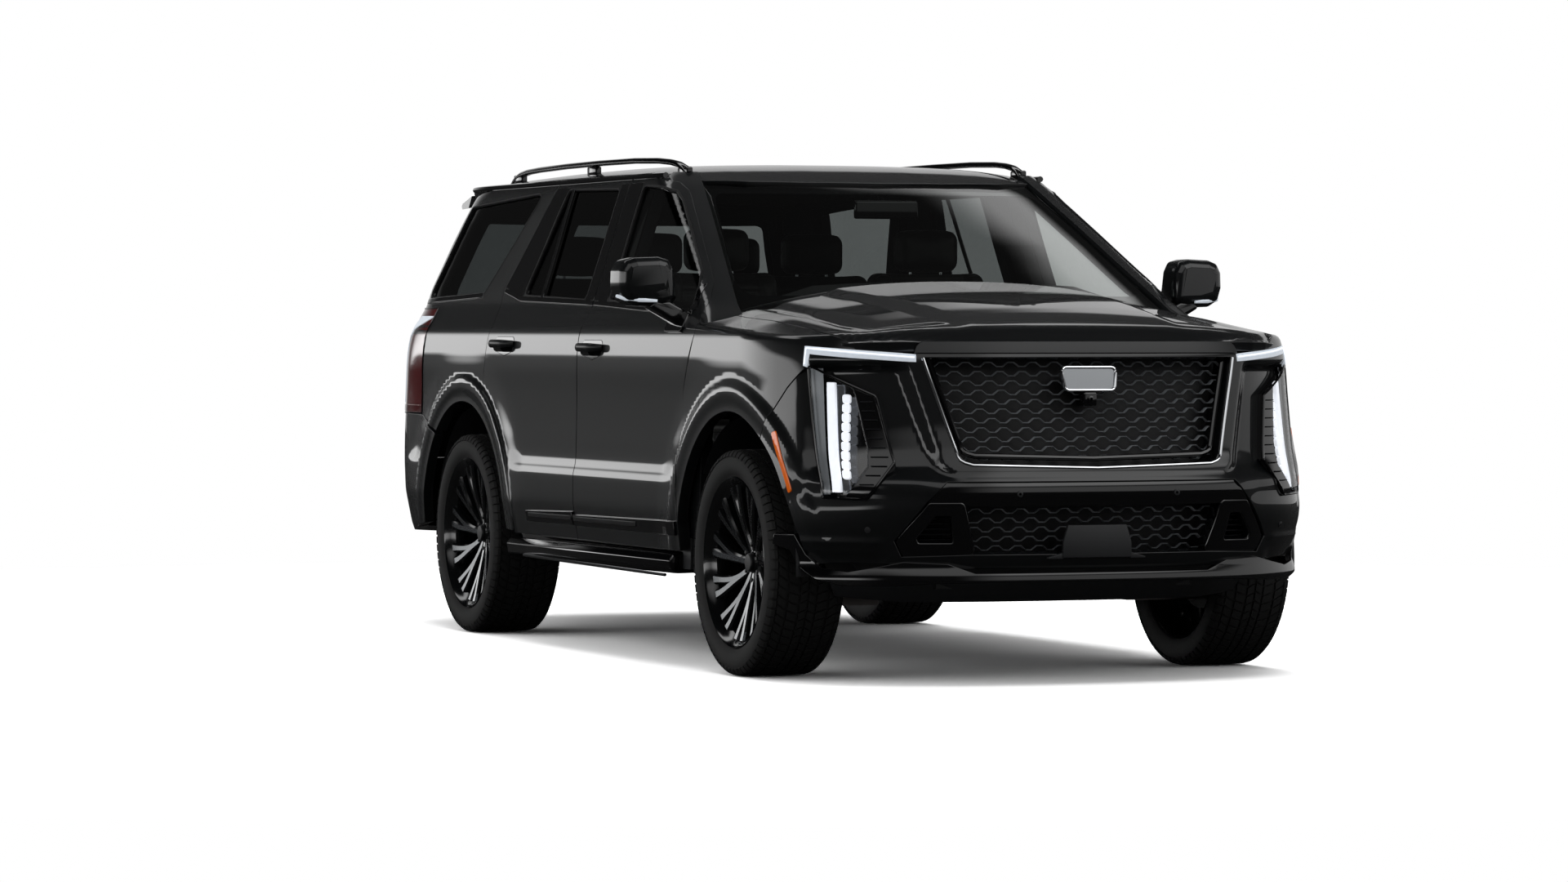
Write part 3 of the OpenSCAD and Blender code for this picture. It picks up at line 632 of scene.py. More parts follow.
def add_box(bm, low, high, bevel=0.0, segments=2):
    """A box between two corners, with its edges rounded."""
    made = bmesh.ops.create_cube(bm, size=1)["verts"]
    size = Vector(high) - Vector(low)
    bmesh.ops.scale(bm, vec=size, verts=made)
    bmesh.ops.translate(bm, vec=(Vector(high) + Vector(low)) / 2, verts=made)
    if bevel:
        edges = list({e for v in made for e in v.link_edges})
        bmesh.ops.bevel(bm, geom=edges, offset=min(bevel, min(size) * 0.45), segments=segments,
                        affect="EDGES", profile=0.5, material=-1)
    return made


def add_prism(bm, points, low, high, axis="x", bevel=0.0, segments=2):
    """An outline extruded along an axis: x takes (y, z), y takes (x, z), z takes (x, y)."""
    put = {"x": lambda p: (low, p[0], p[1]), "y": lambda p: (p[0], low, p[1]),
           "z": lambda p: (p[0], p[1], low)}[axis]
    verts = [bm.verts.new(put(p)) for p in points]
    face = bm.faces.new(verts)
    way = {"x": (high - low, 0, 0), "y": (0, high - low, 0), "z": (0, 0, high - low)}[axis]
    made = bmesh.ops.extrude_face_region(bm, geom=[face])["geom"]
    top = [g for g in made if isinstance(g, bmesh.types.BMVert)]
    bmesh.ops.translate(bm, vec=way, verts=top)
    faces = list({f for v in verts + top for f in v.link_faces})
    bmesh.ops.recalc_face_normals(bm, faces=faces)
    if bevel:
        edges = [e for e in {e for f in faces for e in f.edges}
                 if e.calc_face_angle(0) > math.radians(30)]
        bmesh.ops.bevel(bm, geom=edges, offset=bevel, segments=segments, affect="EDGES",
                        profile=0.5, material=-1, clamp_overlap=True)
    return verts + top


def add_tube(bm, path, radius, sides=8, closed=False, flat=1.0, up=(0, 0, 1)):
    """A tube of round or flattened section swept along points."""
    path = [Vector(p) for p in path]
    rings = []
    count = len(path)
    for i, p in enumerate(path):
        before = path[i - 1] if (i or closed) else p
        after = path[(i + 1) % count] if (i < count - 1 or closed) else p
        along = (after - before).normalized()
        across = along.cross(Vector(up))
        if across.length < 1e-4:
            across = along.cross(Vector((1, 0, 0)))
        across.normalize()
        top = across.cross(along).normalized()
        r = radius[i] if isinstance(radius, (list, tuple)) else radius
        rings.append([bm.verts.new(p + across * r * math.cos(2 * math.pi * k / sides)
                                   + top * r * flat * math.sin(2 * math.pi * k / sides))
                      for k in range(sides)])
    pairs = list(zip(rings, rings[1:])) + ([(rings[-1], rings[0])] if closed else [])
    faces = []
    for a, b in pairs:
        for k in range(sides):
            faces.append(bm.faces.new((a[k], a[(k + 1) % sides], b[(k + 1) % sides], b[k])))
    if not closed:
        faces.append(bm.faces.new(rings[0][::-1]))
        faces.append(bm.faces.new(rings[-1]))
    bmesh.ops.recalc_face_normals(bm, faces=faces)
    return [v for r in rings for v in r]


def add_lathe(bm, profile, axis_point, axis, steps=64, ref=None):
    """A closed outline of (radius, distance along the axis) spun round an axis."""
    axis = Vector(axis).normalized()
    ref = Vector(ref) if ref else axis.orthogonal().normalized()
    ref = (ref - axis * ref.dot(axis)).normalized()
    base = Vector(axis_point)
    verts = [bm.verts.new(base + ref * r + axis * h) for r, h in profile]
    edges = [bm.edges.new((a, b)) for a, b in zip(verts, verts[1:] + verts[:1])]
    before = set(bm.verts)
    bmesh.ops.spin(bm, geom=verts + edges, cent=base, axis=axis, dvec=(0, 0, 0),
                   angle=2 * math.pi, steps=steps, use_merge=True, use_duplicate=False)
    made = verts + [v for v in bm.verts if v not in before]
    bmesh.ops.remove_doubles(bm, verts=made, dist=1e-5)
    made = [v for v in made if v.is_valid]
    bmesh.ops.recalc_face_normals(bm, faces=list({f for v in made for f in v.link_faces}))
    return made


# ---------------------------------------------------------------- materials
def linear(code):
    """A #rrggbb colour as linear RGBA."""
    parts = [int(code[i:i + 2], 16) / 255 for i in (1, 3, 5)]
    return tuple(c / 12.92 if c <= 0.04045 else ((c + 0.055) / 1.055) ** 2.4
                 for c in parts) + (1.0,)


def shade(code, factor):
    """A #rrggbb colour made darker or lighter, as linear RGBA."""
    return tuple(min(1, c * factor) for c in linear(code)[:3]) + (1.0,)


def add(tree, kind, inputs=None, **settings):
    """Adds a node with its settings, and its inputs as values or as links from other nodes."""
    made = tree.nodes.new(kind)
    for key, value in settings.items():
        setattr(made, key, value)
    for key, value in (inputs or {}).items():
        if isinstance(value, bpy.types.NodeSocket):
            tree.links.new(value, made.inputs[key])
        else:
            made.inputs[key].default_value = value
    return made


def maths_in(tree, operation, a, b):
    """The result of a sum of two numbers or node outputs."""
    return add(tree, "ShaderNodeMath", {0: a, 1: b}, operation=operation).outputs["Value"]


def blank(name):
    """A material with an empty tree: returns it, its tree and its output node."""
    material = bpy.data.materials.new(name)
    material.use_nodes = True
    tree = material.node_tree
    tree.nodes.clear()
    return material, tree, tree.nodes.new("ShaderNodeOutputMaterial")


def two_tone(tree, factor, low, high):
    """The colour between two, where a pattern says how far."""
    return add(tree, "ShaderNodeMixRGB", {"Fac": factor, "Color1": low,
                                          "Color2": high}).outputs["Color"]


def surfaced(tree, out, shader):
    """Leads a shader to the material's output."""
    tree.links.new(shader.outputs[0], out.inputs["Surface"])


def finish(name, colour, roughness, grain=0.002, relief=0.0, vary=0.06, wear=0.05, **sockets):
    """A solid finish: colour varied over a hand's width, and a moulded or cast grain.

    grain is the size of the grain in metres, relief its depth in metres."""
    material, tree, out = blank(name)
    where = add(tree, "ShaderNodeTexCoord").outputs["Object"]
    broad = add(tree, "ShaderNodeTexNoise", {"Vector": where, "Scale": 9.0, "Detail": 3.0})
    fine = add(tree, "ShaderNodeTexNoise", {"Vector": where, "Scale": 1 / grain, "Detail": 2.0})
    mix = two_tone(tree, broad.outputs["Fac"], shade(colour, 1 - vary), shade(colour, 1 + vary))
    rough = add(tree, "ShaderNodeMapRange", {
        "Value": fine.outputs["Fac"], "To Min": max(0.0, roughness - wear),
        "To Max": min(1.0, roughness + wear)})
    values = {"Base Color": mix, "Roughness": rough.outputs["Result"]}
    if relief:
        values["Normal"] = add(tree, "ShaderNodeBump", {
            "Height": fine.outputs["Fac"], "Strength": 0.6, "Distance": relief}).outputs["Normal"]
    values.update(sockets)
    surfaced(tree, out, add(tree, "ShaderNodeBsdfPrincipled", values))
    return material


def paint(name, colour):
    """Two-stage car paint: a pigmented base under a polished clear coat.

    The coat gives mirror-like reflections that strengthen at grazing angles, and the fine
    flake in the base only shows close up."""
    material, tree, out = blank(name)
    where = add(tree, "ShaderNodeTexCoord").outputs["Object"]
    flake = add(tree, "ShaderNodeTexVoronoi", {"Vector": where, "Scale": 900.0})
    base = linear(colour)
    light = tuple(c * 1.7 + 0.0015 for c in base[:3]) + (1,)
    surfaced(tree, out, add(tree, "ShaderNodeBsdfPrincipled", {
        "Base Color": two_tone(tree, flake.outputs["Distance"], base, light),
        "Roughness": 0.42, "Specular IOR Level": 0.15,
        "Coat Weight": 1.0, "Coat Roughness": 0.012, "Coat IOR": 1.5}))
    return material


def tinted_glass(name, colour, tint, roughness=0.02):
    """Float glass, dyed in the mass: clear straight through, and mirror-like at a slant."""
    material, tree, out = blank(name)
    where = add(tree, "ShaderNodeTexCoord").outputs["Object"]
    wave = add(tree, "ShaderNodeTexNoise", {"Vector": where, "Scale": 2.0, "Detail": 1.0})
    mix = two_tone(tree, wave.outputs["Fac"], shade(colour, tint * 0.97),
                   shade(colour, tint * 1.03))
    clear = add(tree, "ShaderNodeBsdfTransparent", {"Color": mix})
    # the same reflection from both faces: 5% straight on, rising to a mirror at a slant
    slant = add(tree, "ShaderNodeLayerWeight", {"Blend": 0.5}).outputs["Facing"]
    edge = maths_in(tree, "ADD", maths_in(tree, "MULTIPLY", maths_in(
        tree, "POWER", slant, 5.0), 0.90), 0.05)
    gloss = add(tree, "ShaderNodeBsdfGlossy", {"Color": (1, 1, 1, 1), "Roughness": roughness})
    pane = add(tree, "ShaderNodeMixShader", {0: edge, 1: clear.outputs["BSDF"],
                                             2: gloss.outputs["BSDF"]})
    surfaced(tree, out, pane)
    material.use_transparent_shadow = True
    return material


def glow(name, colour, strength):
    """A light-emitting diode behind its diffuser, its light varied a little in spots."""
    material, tree, out = blank(name)
    where = add(tree, "ShaderNodeTexCoord").outputs["Object"]
    spot = add(tree, "ShaderNodeTexNoise", {"Vector": where, "Scale": 60.0, "Detail": 0.0})
    mix = two_tone(tree, spot.outputs["Fac"], linear(colour), shade(colour, 0.9))
    surfaced(tree, out, add(tree, "ShaderNodeBsdfPrincipled", {
        "Base Color": mix, "Roughness": 0.3, "Emission Color": mix,
        "Emission Strength": strength}))
    return material


def weave(name, colour, spacing, relief, roughness=0.9, **sockets):
    """Woven or tufted cloth: two crossed sets of threads that show as a fine grid, raised by a
    bump, with painted shade darkening the hollows between the threads.
    """
    material, tree, out = blank(name)
    where = add(tree, "ShaderNodeTexCoord").outputs["Object"]
    warp, weft = (add(tree, "ShaderNodeTexWave", {
        "Vector": where, "Scale": 0.3 / spacing, "Distortion": 0.6},
        bands_direction=axis).outputs["Fac"] for axis in "XY")
    crossed = maths_in(tree, "MULTIPLY", warp, weft)
    lift = add(tree, "ShaderNodeBump", {"Height": crossed, "Strength": 0.7,
                                        "Distance": relief})
    # painted shade: the colour darkens where the threads are low, in the hollows between them, and
    # lightens on their tops
    surfaced(tree, out, add(tree, "ShaderNodeBsdfPrincipled", {
        "Base Color": two_tone(tree, crossed, shade(colour, 0.75), shade(colour, 1.2)),
        "Roughness": roughness, "Normal": lift.outputs["Normal"], **sockets}))
    return material


MATERIALS = {}


def make_materials():
    """Every finish of the car, named for the real material."""
    settings = bpy.context.scene.suv_body
    made = {
        # metallic-free black base and clear coat: deep, with sharp reflections
        "paint": paint("black_two_stage_paint", settings.paint_colour),
        # piano-black ABS: a little softer in its reflections than the paint
        "gloss": finish("piano_black_abs", "#050506", 0.10, 0.004, wear=0.02,
                        **{"Coat Weight": 0.6, "Coat Roughness": 0.03}),
        # grained polypropylene: dull, with a leathery moulded grain
        "plastic": finish("grained_polypropylene", "#17181a", 0.55, 0.0016, 0.0003),
        # satin ABS of the inlets and lower trim
        "satin": finish("satin_black_abs", "#0d0e0f", 0.34, 0.0012, 0.00005),
        # EPDM seals: black and matt
        "rubber": finish("epdm_rubber", "#0b0b0c", 0.62, 0.003, 0.0002),
        # chrome plate on ABS
        "chrome": finish("bright_chrome_plate", "#e9ebee", 0.05, 0.01, wear=0.02, Metallic=1.0),
        # dark physical-vapour-deposited chrome of the grille waves
        "dark_chrome": finish("dark_chrome_plate", "#8f9397", 0.34, 0.004, wear=0.05,
                              Metallic=0.6),
        # gloss black enamel baked on cast aluminium
        "wheel_black": finish("black_wheel_enamel", "#08090a", 0.14, 0.006, wear=0.03,
                              **{"Coat Weight": 0.8, "Coat Roughness": 0.04}),
        # spoke faces machined, then tinted dark under lacquer
        "wheel_grey": finish("machined_aluminium_tinted", "#4a4d50", 0.26, 0.0012, 0.00003,
                             Metallic=1.0, **{"Coat Weight": 0.7, "Coat Roughness": 0.05}),
        # cast aluminium arms and housings, bead blasted
        "cast": finish("cast_aluminium", "#8d9093", 0.5, 0.0015, 0.0002, Metallic=0.9),
        # grey iron discs, turned and lightly used
        "iron": finish("grey_cast_iron", "#6b6765", 0.38, 0.0025, 0.00008, Metallic=1.0),
        # electro-dipped pressed steel of the frame and the hidden panels
        "steel": finish("e_coated_steel", "#141516", 0.48, 0.004, 0.00015),
        # aluminised exhaust steel, dulled by heat
        "exhaust": finish("aluminised_exhaust_steel", "#77726b", 0.42, 0.006, 0.0001,
                          Metallic=1.0, vary=0.2),
        # semi-aniline leather, dark, with a soft sheen
        "leather": finish("black_seat_leather", "#1e1d1d", 0.46, 0.0011, 0.00025,
                          **{"Sheen Weight": 0.15, "Sheen Roughness": 0.4}),
        # slush-moulded vinyl of the dashboard
        "vinyl": finish("soft_touch_vinyl", "#161617", 0.58, 0.0013, 0.0002),
        # blow-moulded polyethylene tank
        "tank": finish("moulded_polyethylene", "#101112", 0.5, 0.005, 0.0003),
        "brushed": finish("brushed_aluminium_trim", "#a5a8ab", 0.3, 0.0015, Metallic=1.0),
        # tread compound: carbon black rubber
        "tyre": finish("carbon_black_tyre_rubber", "#131313", 0.68, 0.0018, 0.00015, vary=0.15),
        # the carpet and the headlining carry painted shade, darker in the hollows between their
        # threads
        "carpet": weave("tufted_carpet", "#141415", 0.004, 0.0008),
        "headlining": weave("knitted_headlining", "#3b3a39", 0.002, 0.0002),
        "windshield": tinted_glass("laminated_glass", "#e6eae8", 0.66),
        "tinted": tinted_glass("privacy_glass", "#9ea3a3", 0.52),
        "front_glass": tinted_glass("tempered_glass", "#d5dad8", 0.72),
        "lens": tinted_glass("polycarbonate_lens", "#ffffff", 0.98),
        "led": glow("white_led_light_guide", "#f4f8ff", 0.62),
        "led_dim": glow("white_led_reflector", "#cfd6de", 0.30),
        # acrylic dyed in the mass, with small prisms behind it
        "amber": finish("amber_acrylic", "#e2660c", 0.16, 0.008, 0.0004, vary=0.2,
                        **{"Coat Weight": 1.0}),
        "red": finish("red_acrylic", "#4a0407", 0.12, 0.006, 0.0004, vary=0.25,
                      **{"Coat Weight": 1.0}),
        "reflector": finish("aluminised_reflector", "#c9ced4", 0.12, 0.004, 0.0002,
                            Metallic=1.0),
        "caliper": finish("black_caliper_enamel", "#18191b", 0.3, 0.003),
    }
    MATERIALS.update(made)


# ---------------------------------------------------------------- add-on settings
class SUV_BodySettings(bpy.types.PropertyGroup):
    """Sizes and colours of the painted body."""
    paint_colour: bpy.props.StringProperty(
        name="Paint", description="Colour of the body paint as #rrggbb", default="#050607")
    panel_step: bpy.props.FloatProperty(
        name="Panel mesh", description="Spacing of the mesh lines on the body panels",
        default=0.026, min=0.015, max=0.06, unit="LENGTH", subtype="DISTANCE")
    handle_length: bpy.props.FloatProperty(
        name="Handle length", description="Length of a door handle", default=0.225, min=0.15,
        max=0.30, unit="LENGTH", subtype="DISTANCE")


class SUV_WheelSettings(bpy.types.PropertyGroup):
    """Sizes of the wheels and tyres."""
    spokes: bpy.props.IntProperty(
        name="Spokes", description="Number of spokes in a wheel", default=11, min=5, max=16)
    tread_depth: bpy.props.FloatProperty(
        name="Tread depth", description="Depth of the tyre's grooves", default=0.008, min=0.002,
        max=0.012, unit="LENGTH", subtype="DISTANCE")
    blocks: bpy.props.IntProperty(
        name="Tread blocks", description="Tread blocks round the tyre", default=72, min=40,
        max=100)


class SUV_StageSettings(bpy.types.PropertyGroup):
    """The studio round the car."""
    wall_light: bpy.props.FloatProperty(
        name="Wall light", description="Radiance of the large light beside the car",
        default=2.3, min=0, max=10)
    floor_reach: bpy.props.FloatProperty(
        name="Floor", description="Half the width of the floor", default=60, min=20, max=200,
        unit="LENGTH", subtype="DISTANCE")


class SUV_OT_materials(bpy.types.Operator):
    """Make the car's materials"""
    bl_idname = "suv.materials"
    bl_label = "Materials"

    def execute(self, context):
        make_materials()
        return {"FINISHED"}


# ---------------------------------------------------------------- the stage
CAMERA_PLACE = (-7.882, -19.877, 1.228)
CAMERA_TURN = (21.3, -1.15)  # to the right of straight back, and up, in degrees
CAMERA_LENS = 125.14  # millimetres


def area_light(name, at, towards, size, radiance):
    """A flat soft light of a stated radiance, which the camera doesn't see."""
    lamp = bpy.data.lights.new(name, "AREA")
    lamp.shape = "RECTANGLE"
    lamp.size, lamp.size_y = size
    lamp.energy = radiance * 4 * size[0] * size[1]
    holder = bpy.data.objects.new(name, lamp)
    holder.location = at
    aim = Vector(towards) - Vector(at)
    holder.rotation_euler = aim.to_track_quat("-Z", "Y").to_euler()
    holder.visible_camera = False
    holder.visible_transmission = False
    holder.visible_glossy = False
    bpy.context.scene.collection.objects.link(holder)
    return holder


class SUV_OT_stage(bpy.types.Operator):
    """Make the floor, the studio lights and the camera"""
    bl_idname = "suv.stage"
    bl_label = "Stage"

    def execute(self, context):
        scene = context.scene
        settings = scene.suv_stage
        scene.view_settings.view_transform = "Standard"

        camera_data = bpy.data.cameras.new("camera")
        camera_data.lens = CAMERA_LENS
        camera_data.sensor_width = 36
        camera_data.clip_end = 300
        camera = bpy.data.objects.new("camera", camera_data)
        yaw, pitch = (math.radians(angle) for angle in CAMERA_TURN)
        look = Vector((math.cos(pitch) * math.sin(yaw), math.cos(pitch) * math.cos(yaw),
                       math.sin(pitch)))
        camera.location = CAMERA_PLACE
        camera.rotation_euler = look.to_track_quat("-Z", "Y").to_euler()
        scene.collection.objects.link(camera)
        scene.camera = camera

        # plain white round the car; the paint and the metal see a dark studio with a long
        # soft wall on the left, a soft box at the front right and a pale ceiling
        world = bpy.data.worlds.new("studio")
        scene.world = world
        world.use_nodes = True
        tree = world.node_tree
        tree.nodes.clear()
        ray = add(tree, "ShaderNodeLightPath")
        way = add(tree, "ShaderNodeSeparateXYZ", {
            "Vector": add(tree, "ShaderNodeTexCoord").outputs["Generated"]})

        def ramp(axis, start, end, low, high):
            """A smooth change of light across a band of directions."""
            return add(tree, "ShaderNodeMapRange", {
                "Value": way.outputs[axis], "From Min": start, "From Max": end,
                "To Min": low, "To Max": high}, interpolation_type="SMOOTHSTEP"
            ).outputs["Result"]

        horizon = maths_in(tree, "MULTIPLY", ramp("Z", 0.275, 0.33, 0.60, 0.03),
                           ramp("X", -0.16, 0.20, 0.04, 1))
        strip = maths_in(tree, "MULTIPLY", ramp("Z", 0.60, 0.66, 0, 1.5),
                         ramp("Z", 0.70, 0.75, 1, 0))
        strip = maths_in(tree, "MULTIPLY", strip, ramp("Y", 0.45, 0.55, 0, 1))
        horizon = maths_in(tree, "ADD", horizon, strip)
        wall = maths_in(tree, "MULTIPLY", ramp("X", -0.30, -0.08, settings.wall_light, 0),
                        ramp("Y", -0.75, -0.45, 0, 1))
        wall = maths_in(tree, "MULTIPLY", wall, maths_in(
            tree, "MULTIPLY", ramp("Z", 0.004, 0.02, 0, 1), ramp("Z", 0.10, 0.17, 1, 0)))
        box = maths_in(tree, "MULTIPLY", ramp("Y", -0.45, -0.20, 1.6, 0),
                       ramp("X", 0.0, 0.2, 0.5, 1))
        box = maths_in(tree, "MULTIPLY", box, maths_in(
            tree, "MULTIPLY", ramp("Z", 0.32, 0.42, 0, 1), ramp("Z", 0.78, 0.92, 1, 0)))
        studio = maths_in(tree, "ADD", horizon, maths_in(tree, "ADD", wall, box))
        seen = maths_in(tree, "MAXIMUM", ray.outputs["Is Camera Ray"],
                        ray.outputs["Is Transmission Ray"])
        mirror = maths_in(tree, "MULTIPLY", ray.outputs["Is Glossy Ray"], studio)
        dull = maths_in(tree, "SUBTRACT", 1.0, ray.outputs["Is Glossy Ray"])
        plain = maths_in(tree, "MULTIPLY", dull, 0.42)
        level = maths_in(tree, "MAXIMUM", seen, maths_in(tree, "ADD", mirror, plain))
        sky = add(tree, "ShaderNodeBackground", {"Color": (1, 1, 1, 1), "Strength": level})
        add(tree, "ShaderNodeOutputWorld", {"Surface": sky.outputs["Background"]})

        area_light("wall_light", (-9.0, 3.0, 4.0), (0, 1.0, 0.5), (16, 6), 1.2)
        area_light("front_light", (7.0, -11.0, 5.0), (0, -1.5, 0.8), (9, 5), 1.2)
        area_light("ceiling_light", (0.5, 1.0, 8.5), (0.5, 1.0, 0), (7, 14), 1.9)

        reach = settings.floor_reach
        bm = bmesh.new()
        bmesh.ops.create_grid(bm, x_segments=2, y_segments=2, size=reach)
        # white backdrop paint, with the shadow kept near the car; dark to mirrored rays
        material, tree, out = blank("studio_floor")
        ray = add(tree, "ShaderNodeLightPath")
        seen = maths_in(tree, "MAXIMUM", ray.outputs["Is Camera Ray"],
                        ray.outputs["Is Transmission Ray"])
        dull = maths_in(tree, "MULTIPLY", ray.outputs["Is Glossy Ray"], -0.33)
        rest = maths_in(tree, "ADD", dull, 0.35)
        tone = maths_in(tree, "MAXIMUM", rest, maths_in(tree, "MULTIPLY", seen, 1.85))
        colour = add(tree, "ShaderNodeCombineXYZ", {"X": tone, "Y": tone, "Z": tone})
        matt = add(tree, "ShaderNodeBsdfDiffuse", {"Color": colour.outputs["Vector"]})
        far = add(tree, "ShaderNodeEmission", {
            "Color": (1, 1, 1, 1), "Strength": maths_in(tree, "MAXIMUM", rest, seen)})
        where = add(tree, "ShaderNodeTexCoord").outputs["Object"]
        length = add(tree, "ShaderNodeVectorMath", {0: where}, operation="LENGTH")
        away = add(tree, "ShaderNodeMapRange", {
            "Value": length.outputs["Value"], "From Min": 4.2, "From Max": 8.0},
            interpolation_type="SMOOTHSTEP")
        mix = add(tree, "ShaderNodeMixShader", {0: away.outputs["Result"],
                                                1: matt.outputs["BSDF"],
                                                2: far.outputs["Emission"]})
        surfaced(tree, out, mix)
        floor = finish_mesh("floor", bm, material)
        floor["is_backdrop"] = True
        return {"FINISHED"}


# ---------------------------------------------------------------- composite surfaces
def crease_table():
    """Where the side of the body meets the surface of the hood, all round the nose."""
    at = np.linspace(0.0, 3.3, 331)
    heights = np.linspace(1.0, 1.44, 221)
    found = []
    for s in at:
        p = front_wrap(np.full_like(heights, s), heights)
        gap = heights - hood_top(p[:, 0], p[:, 1])[:, 2]
        k = int(np.argmax(gap > 0))
        found.append(heights[k] - gap[k] / (gap[k] - gap[k - 1]) * (heights[1] - heights[0]))
    return at, np.array(found)


CREASE = crease_table()
CREASE_POINTS = front_wrap(CREASE[0], CREASE[1])


def fender_raw(s, t):
    """The fender before its crease is rounded: up its side, then inwards over its top."""
    crease = np.interp(np.abs(s), *CREASE)
    p = front_wrap(s, np.minimum(t, crease))
    over = np.maximum(t - crease, 0)
    x = p[..., 0] - np.sign(s) * over
    top = hood_top(x, p[..., 1])
    return np.where((over > 0)[..., None], top, p)


def fender_skin(s, t):
    """The fender: its side up to the crease, then its top, rounded where they meet."""
    return sum(fender_raw(s, t + k) for k in (-0.016, -0.008, 0, 0.008, 0.016)) / 5


def plan_st(x, y):
    """Fender coordinates of a point on its top, from above."""
    s = float(np.interp(y, CREASE_POINTS[:, 1], CREASE[0]))
    edge = float(np.interp(s, CREASE[0], CREASE_POINTS[:, 0]))
    return s, float(np.interp(s, *CREASE)) + edge - x


def side_st(y, z):
    """Front-wrap coordinates of a point of the side."""
    return side_s(y, z), z


GRILLE = [(0.600, 1.140), (0.500, 0.800), (0.482, 0.780), (0.455, 0.770), (0.0, 0.758)]
LAMP = [(1.026, 1.114), (1.010, 0.652), (0.842, 0.648), (0.726, 0.776), (0.774, 1.006),
        (0.852, 1.040)]
INTAKE = [(0.556, 0.712), (0.628, 0.640), (0.737, 0.505), (0.708, 0.448), (0.45, 0.455)]


def both(points):
    """An outline open at the middle, closed by its mirror image."""
    return points + [(-x, y) for x, y in points[::-1] if abs(x) > 1e-6]


def segment_distance(x, y, loop):
    """How far points are from an outline."""
    best = np.full(np.shape(x), 9.0)
    for (ax, ay), (bx, by) in zip(loop, loop[1:] + loop[:1]):
        dx, dy = bx - ax, by - ay
        t = np.clip(((x - ax) * dx + (y - ay) * dy) / (dx * dx + dy * dy), 0, 1)
        best = np.minimum(best, np.hypot(x - ax - t * dx, y - ay - t * dy))
    return best


def fascia_skin(s, z):
    """The bumper cover: a raised frame round the grille, hollows beside the lamps, a ledge
    under them, and a chin."""
    p = front_wrap(s, z)
    a = np.abs(s)
    off = segment_distance(s, z, both(GRILLE))
    hollow = smoothstep(0.050, 0.105, off) * smoothstep(0.70, 0.77, z)
    hollow *= 1 - smoothstep(1.085, 1.13, z)
    hollow *= 1 - smoothstep(0.99, 1.10, a)
    ledge = smoothstep(0.52, 0.70, a) * bump(z, 0.672, 0.045) * (1 - smoothstep(1.05, 1.25, a))
    band = (1 - smoothstep(0.53, 0.62, a)) * bump(z, 0.735, 0.016)
    chin = bump(z, 0.50, 0.012) * smoothstep(0.74, 0.80, a) * (1 - smoothstep(1.2, 1.3, a))
    deep = 0.034 * hollow + 0.014 * ledge + 0.004 * band - 0.006 * chin
    deep = deep + 0.010 * smoothstep(0.476, 0.44, z) * smoothstep(0.74, 0.80, a)
    p[..., 1] += deep
    p[..., 0] -= np.sign(s) * deep * 0.5 * smoothstep(0.6, 1.0, a)
    return p


def front_step(amount):
    """The front surface moved straight back."""
    def surface(s, z):
        p = front_wrap(s, z)
        p[..., 1] += amount
        p[..., 0] *= 1 - amount * 0.45
        return p
    return surface


def offset(surface, amount, facing=1):
    """A surface moved inwards along its own normal."""
    def shifted(u, v):
        return surface(u, v) - surface_normals(surface, u, v, facing) * amount
    return shifted


def pillar_line(along, heights):
    """Points beside the windshield, a distance round the cabin from its edge."""
    line = []
    for z in heights:
        s = cabin_s(float(np.interp(z, [1.335, 1.793], [0.850, 0.680])), z) + along
        line.append((float(cabin_front(np.array(s), np.array(z))[1]), z))
    return line


# Side outlines, as (station, height)
DOOR_EDGE = ([(-1.343, 1.224), (-1.322, 1.300), (-1.296, 1.340)]
             + pillar_line(0.062, (1.411, 1.47, 1.53, 1.59, 1.65, 1.71, 1.76)))
FRONT_DOOR = ([(-1.206, 0.430), (-1.206, 0.650), (-1.240, 1.010)] + DOOR_EDGE
              + [(-0.510, 1.792), (-0.430, 1.807), (-0.230, 1.817), (-0.090, 1.819),
                 (-0.083, 1.242), (-0.032, 0.597), (-0.032, 0.430)])
REAR_DOOR = ([(-0.024, 0.430), (-0.024, 0.597), (-0.073, 1.242), (-0.074, 1.819),
              (0.640, 1.819), (0.780, 1.811), (1.074, 1.400), (1.022, 1.249), (1.079, 1.051)]
             + arc((REAR_AXLE, HUB_HEIGHT), 0.6425, 113.5, 177.7, 16))
FRONT_WINDOW = ([(-1.196, 1.300), (-1.172, 1.392)]
                + pillar_line(0.102, (1.45, 1.52, 1.59, 1.66, 1.72))
                + [(-0.555, 1.757), (-0.440, 1.777), (-0.240, 1.786), (-0.240, 1.346)])
REAR_WINDOW = [(0.026, 1.348), (0.015, 1.779), (0.635, 1.791), (0.802, 1.371)]
QUARTER_WINDOW = [(1.317, 1.382), (0.928, 1.786), (1.869, 1.746), (2.084, 1.366)]


def side_in(amount):
    """The left side moved inwards, in plain x."""
    def surface(y, z):
        p = side(y, z)
        p[..., 0] -= amount
        return p
    return surface


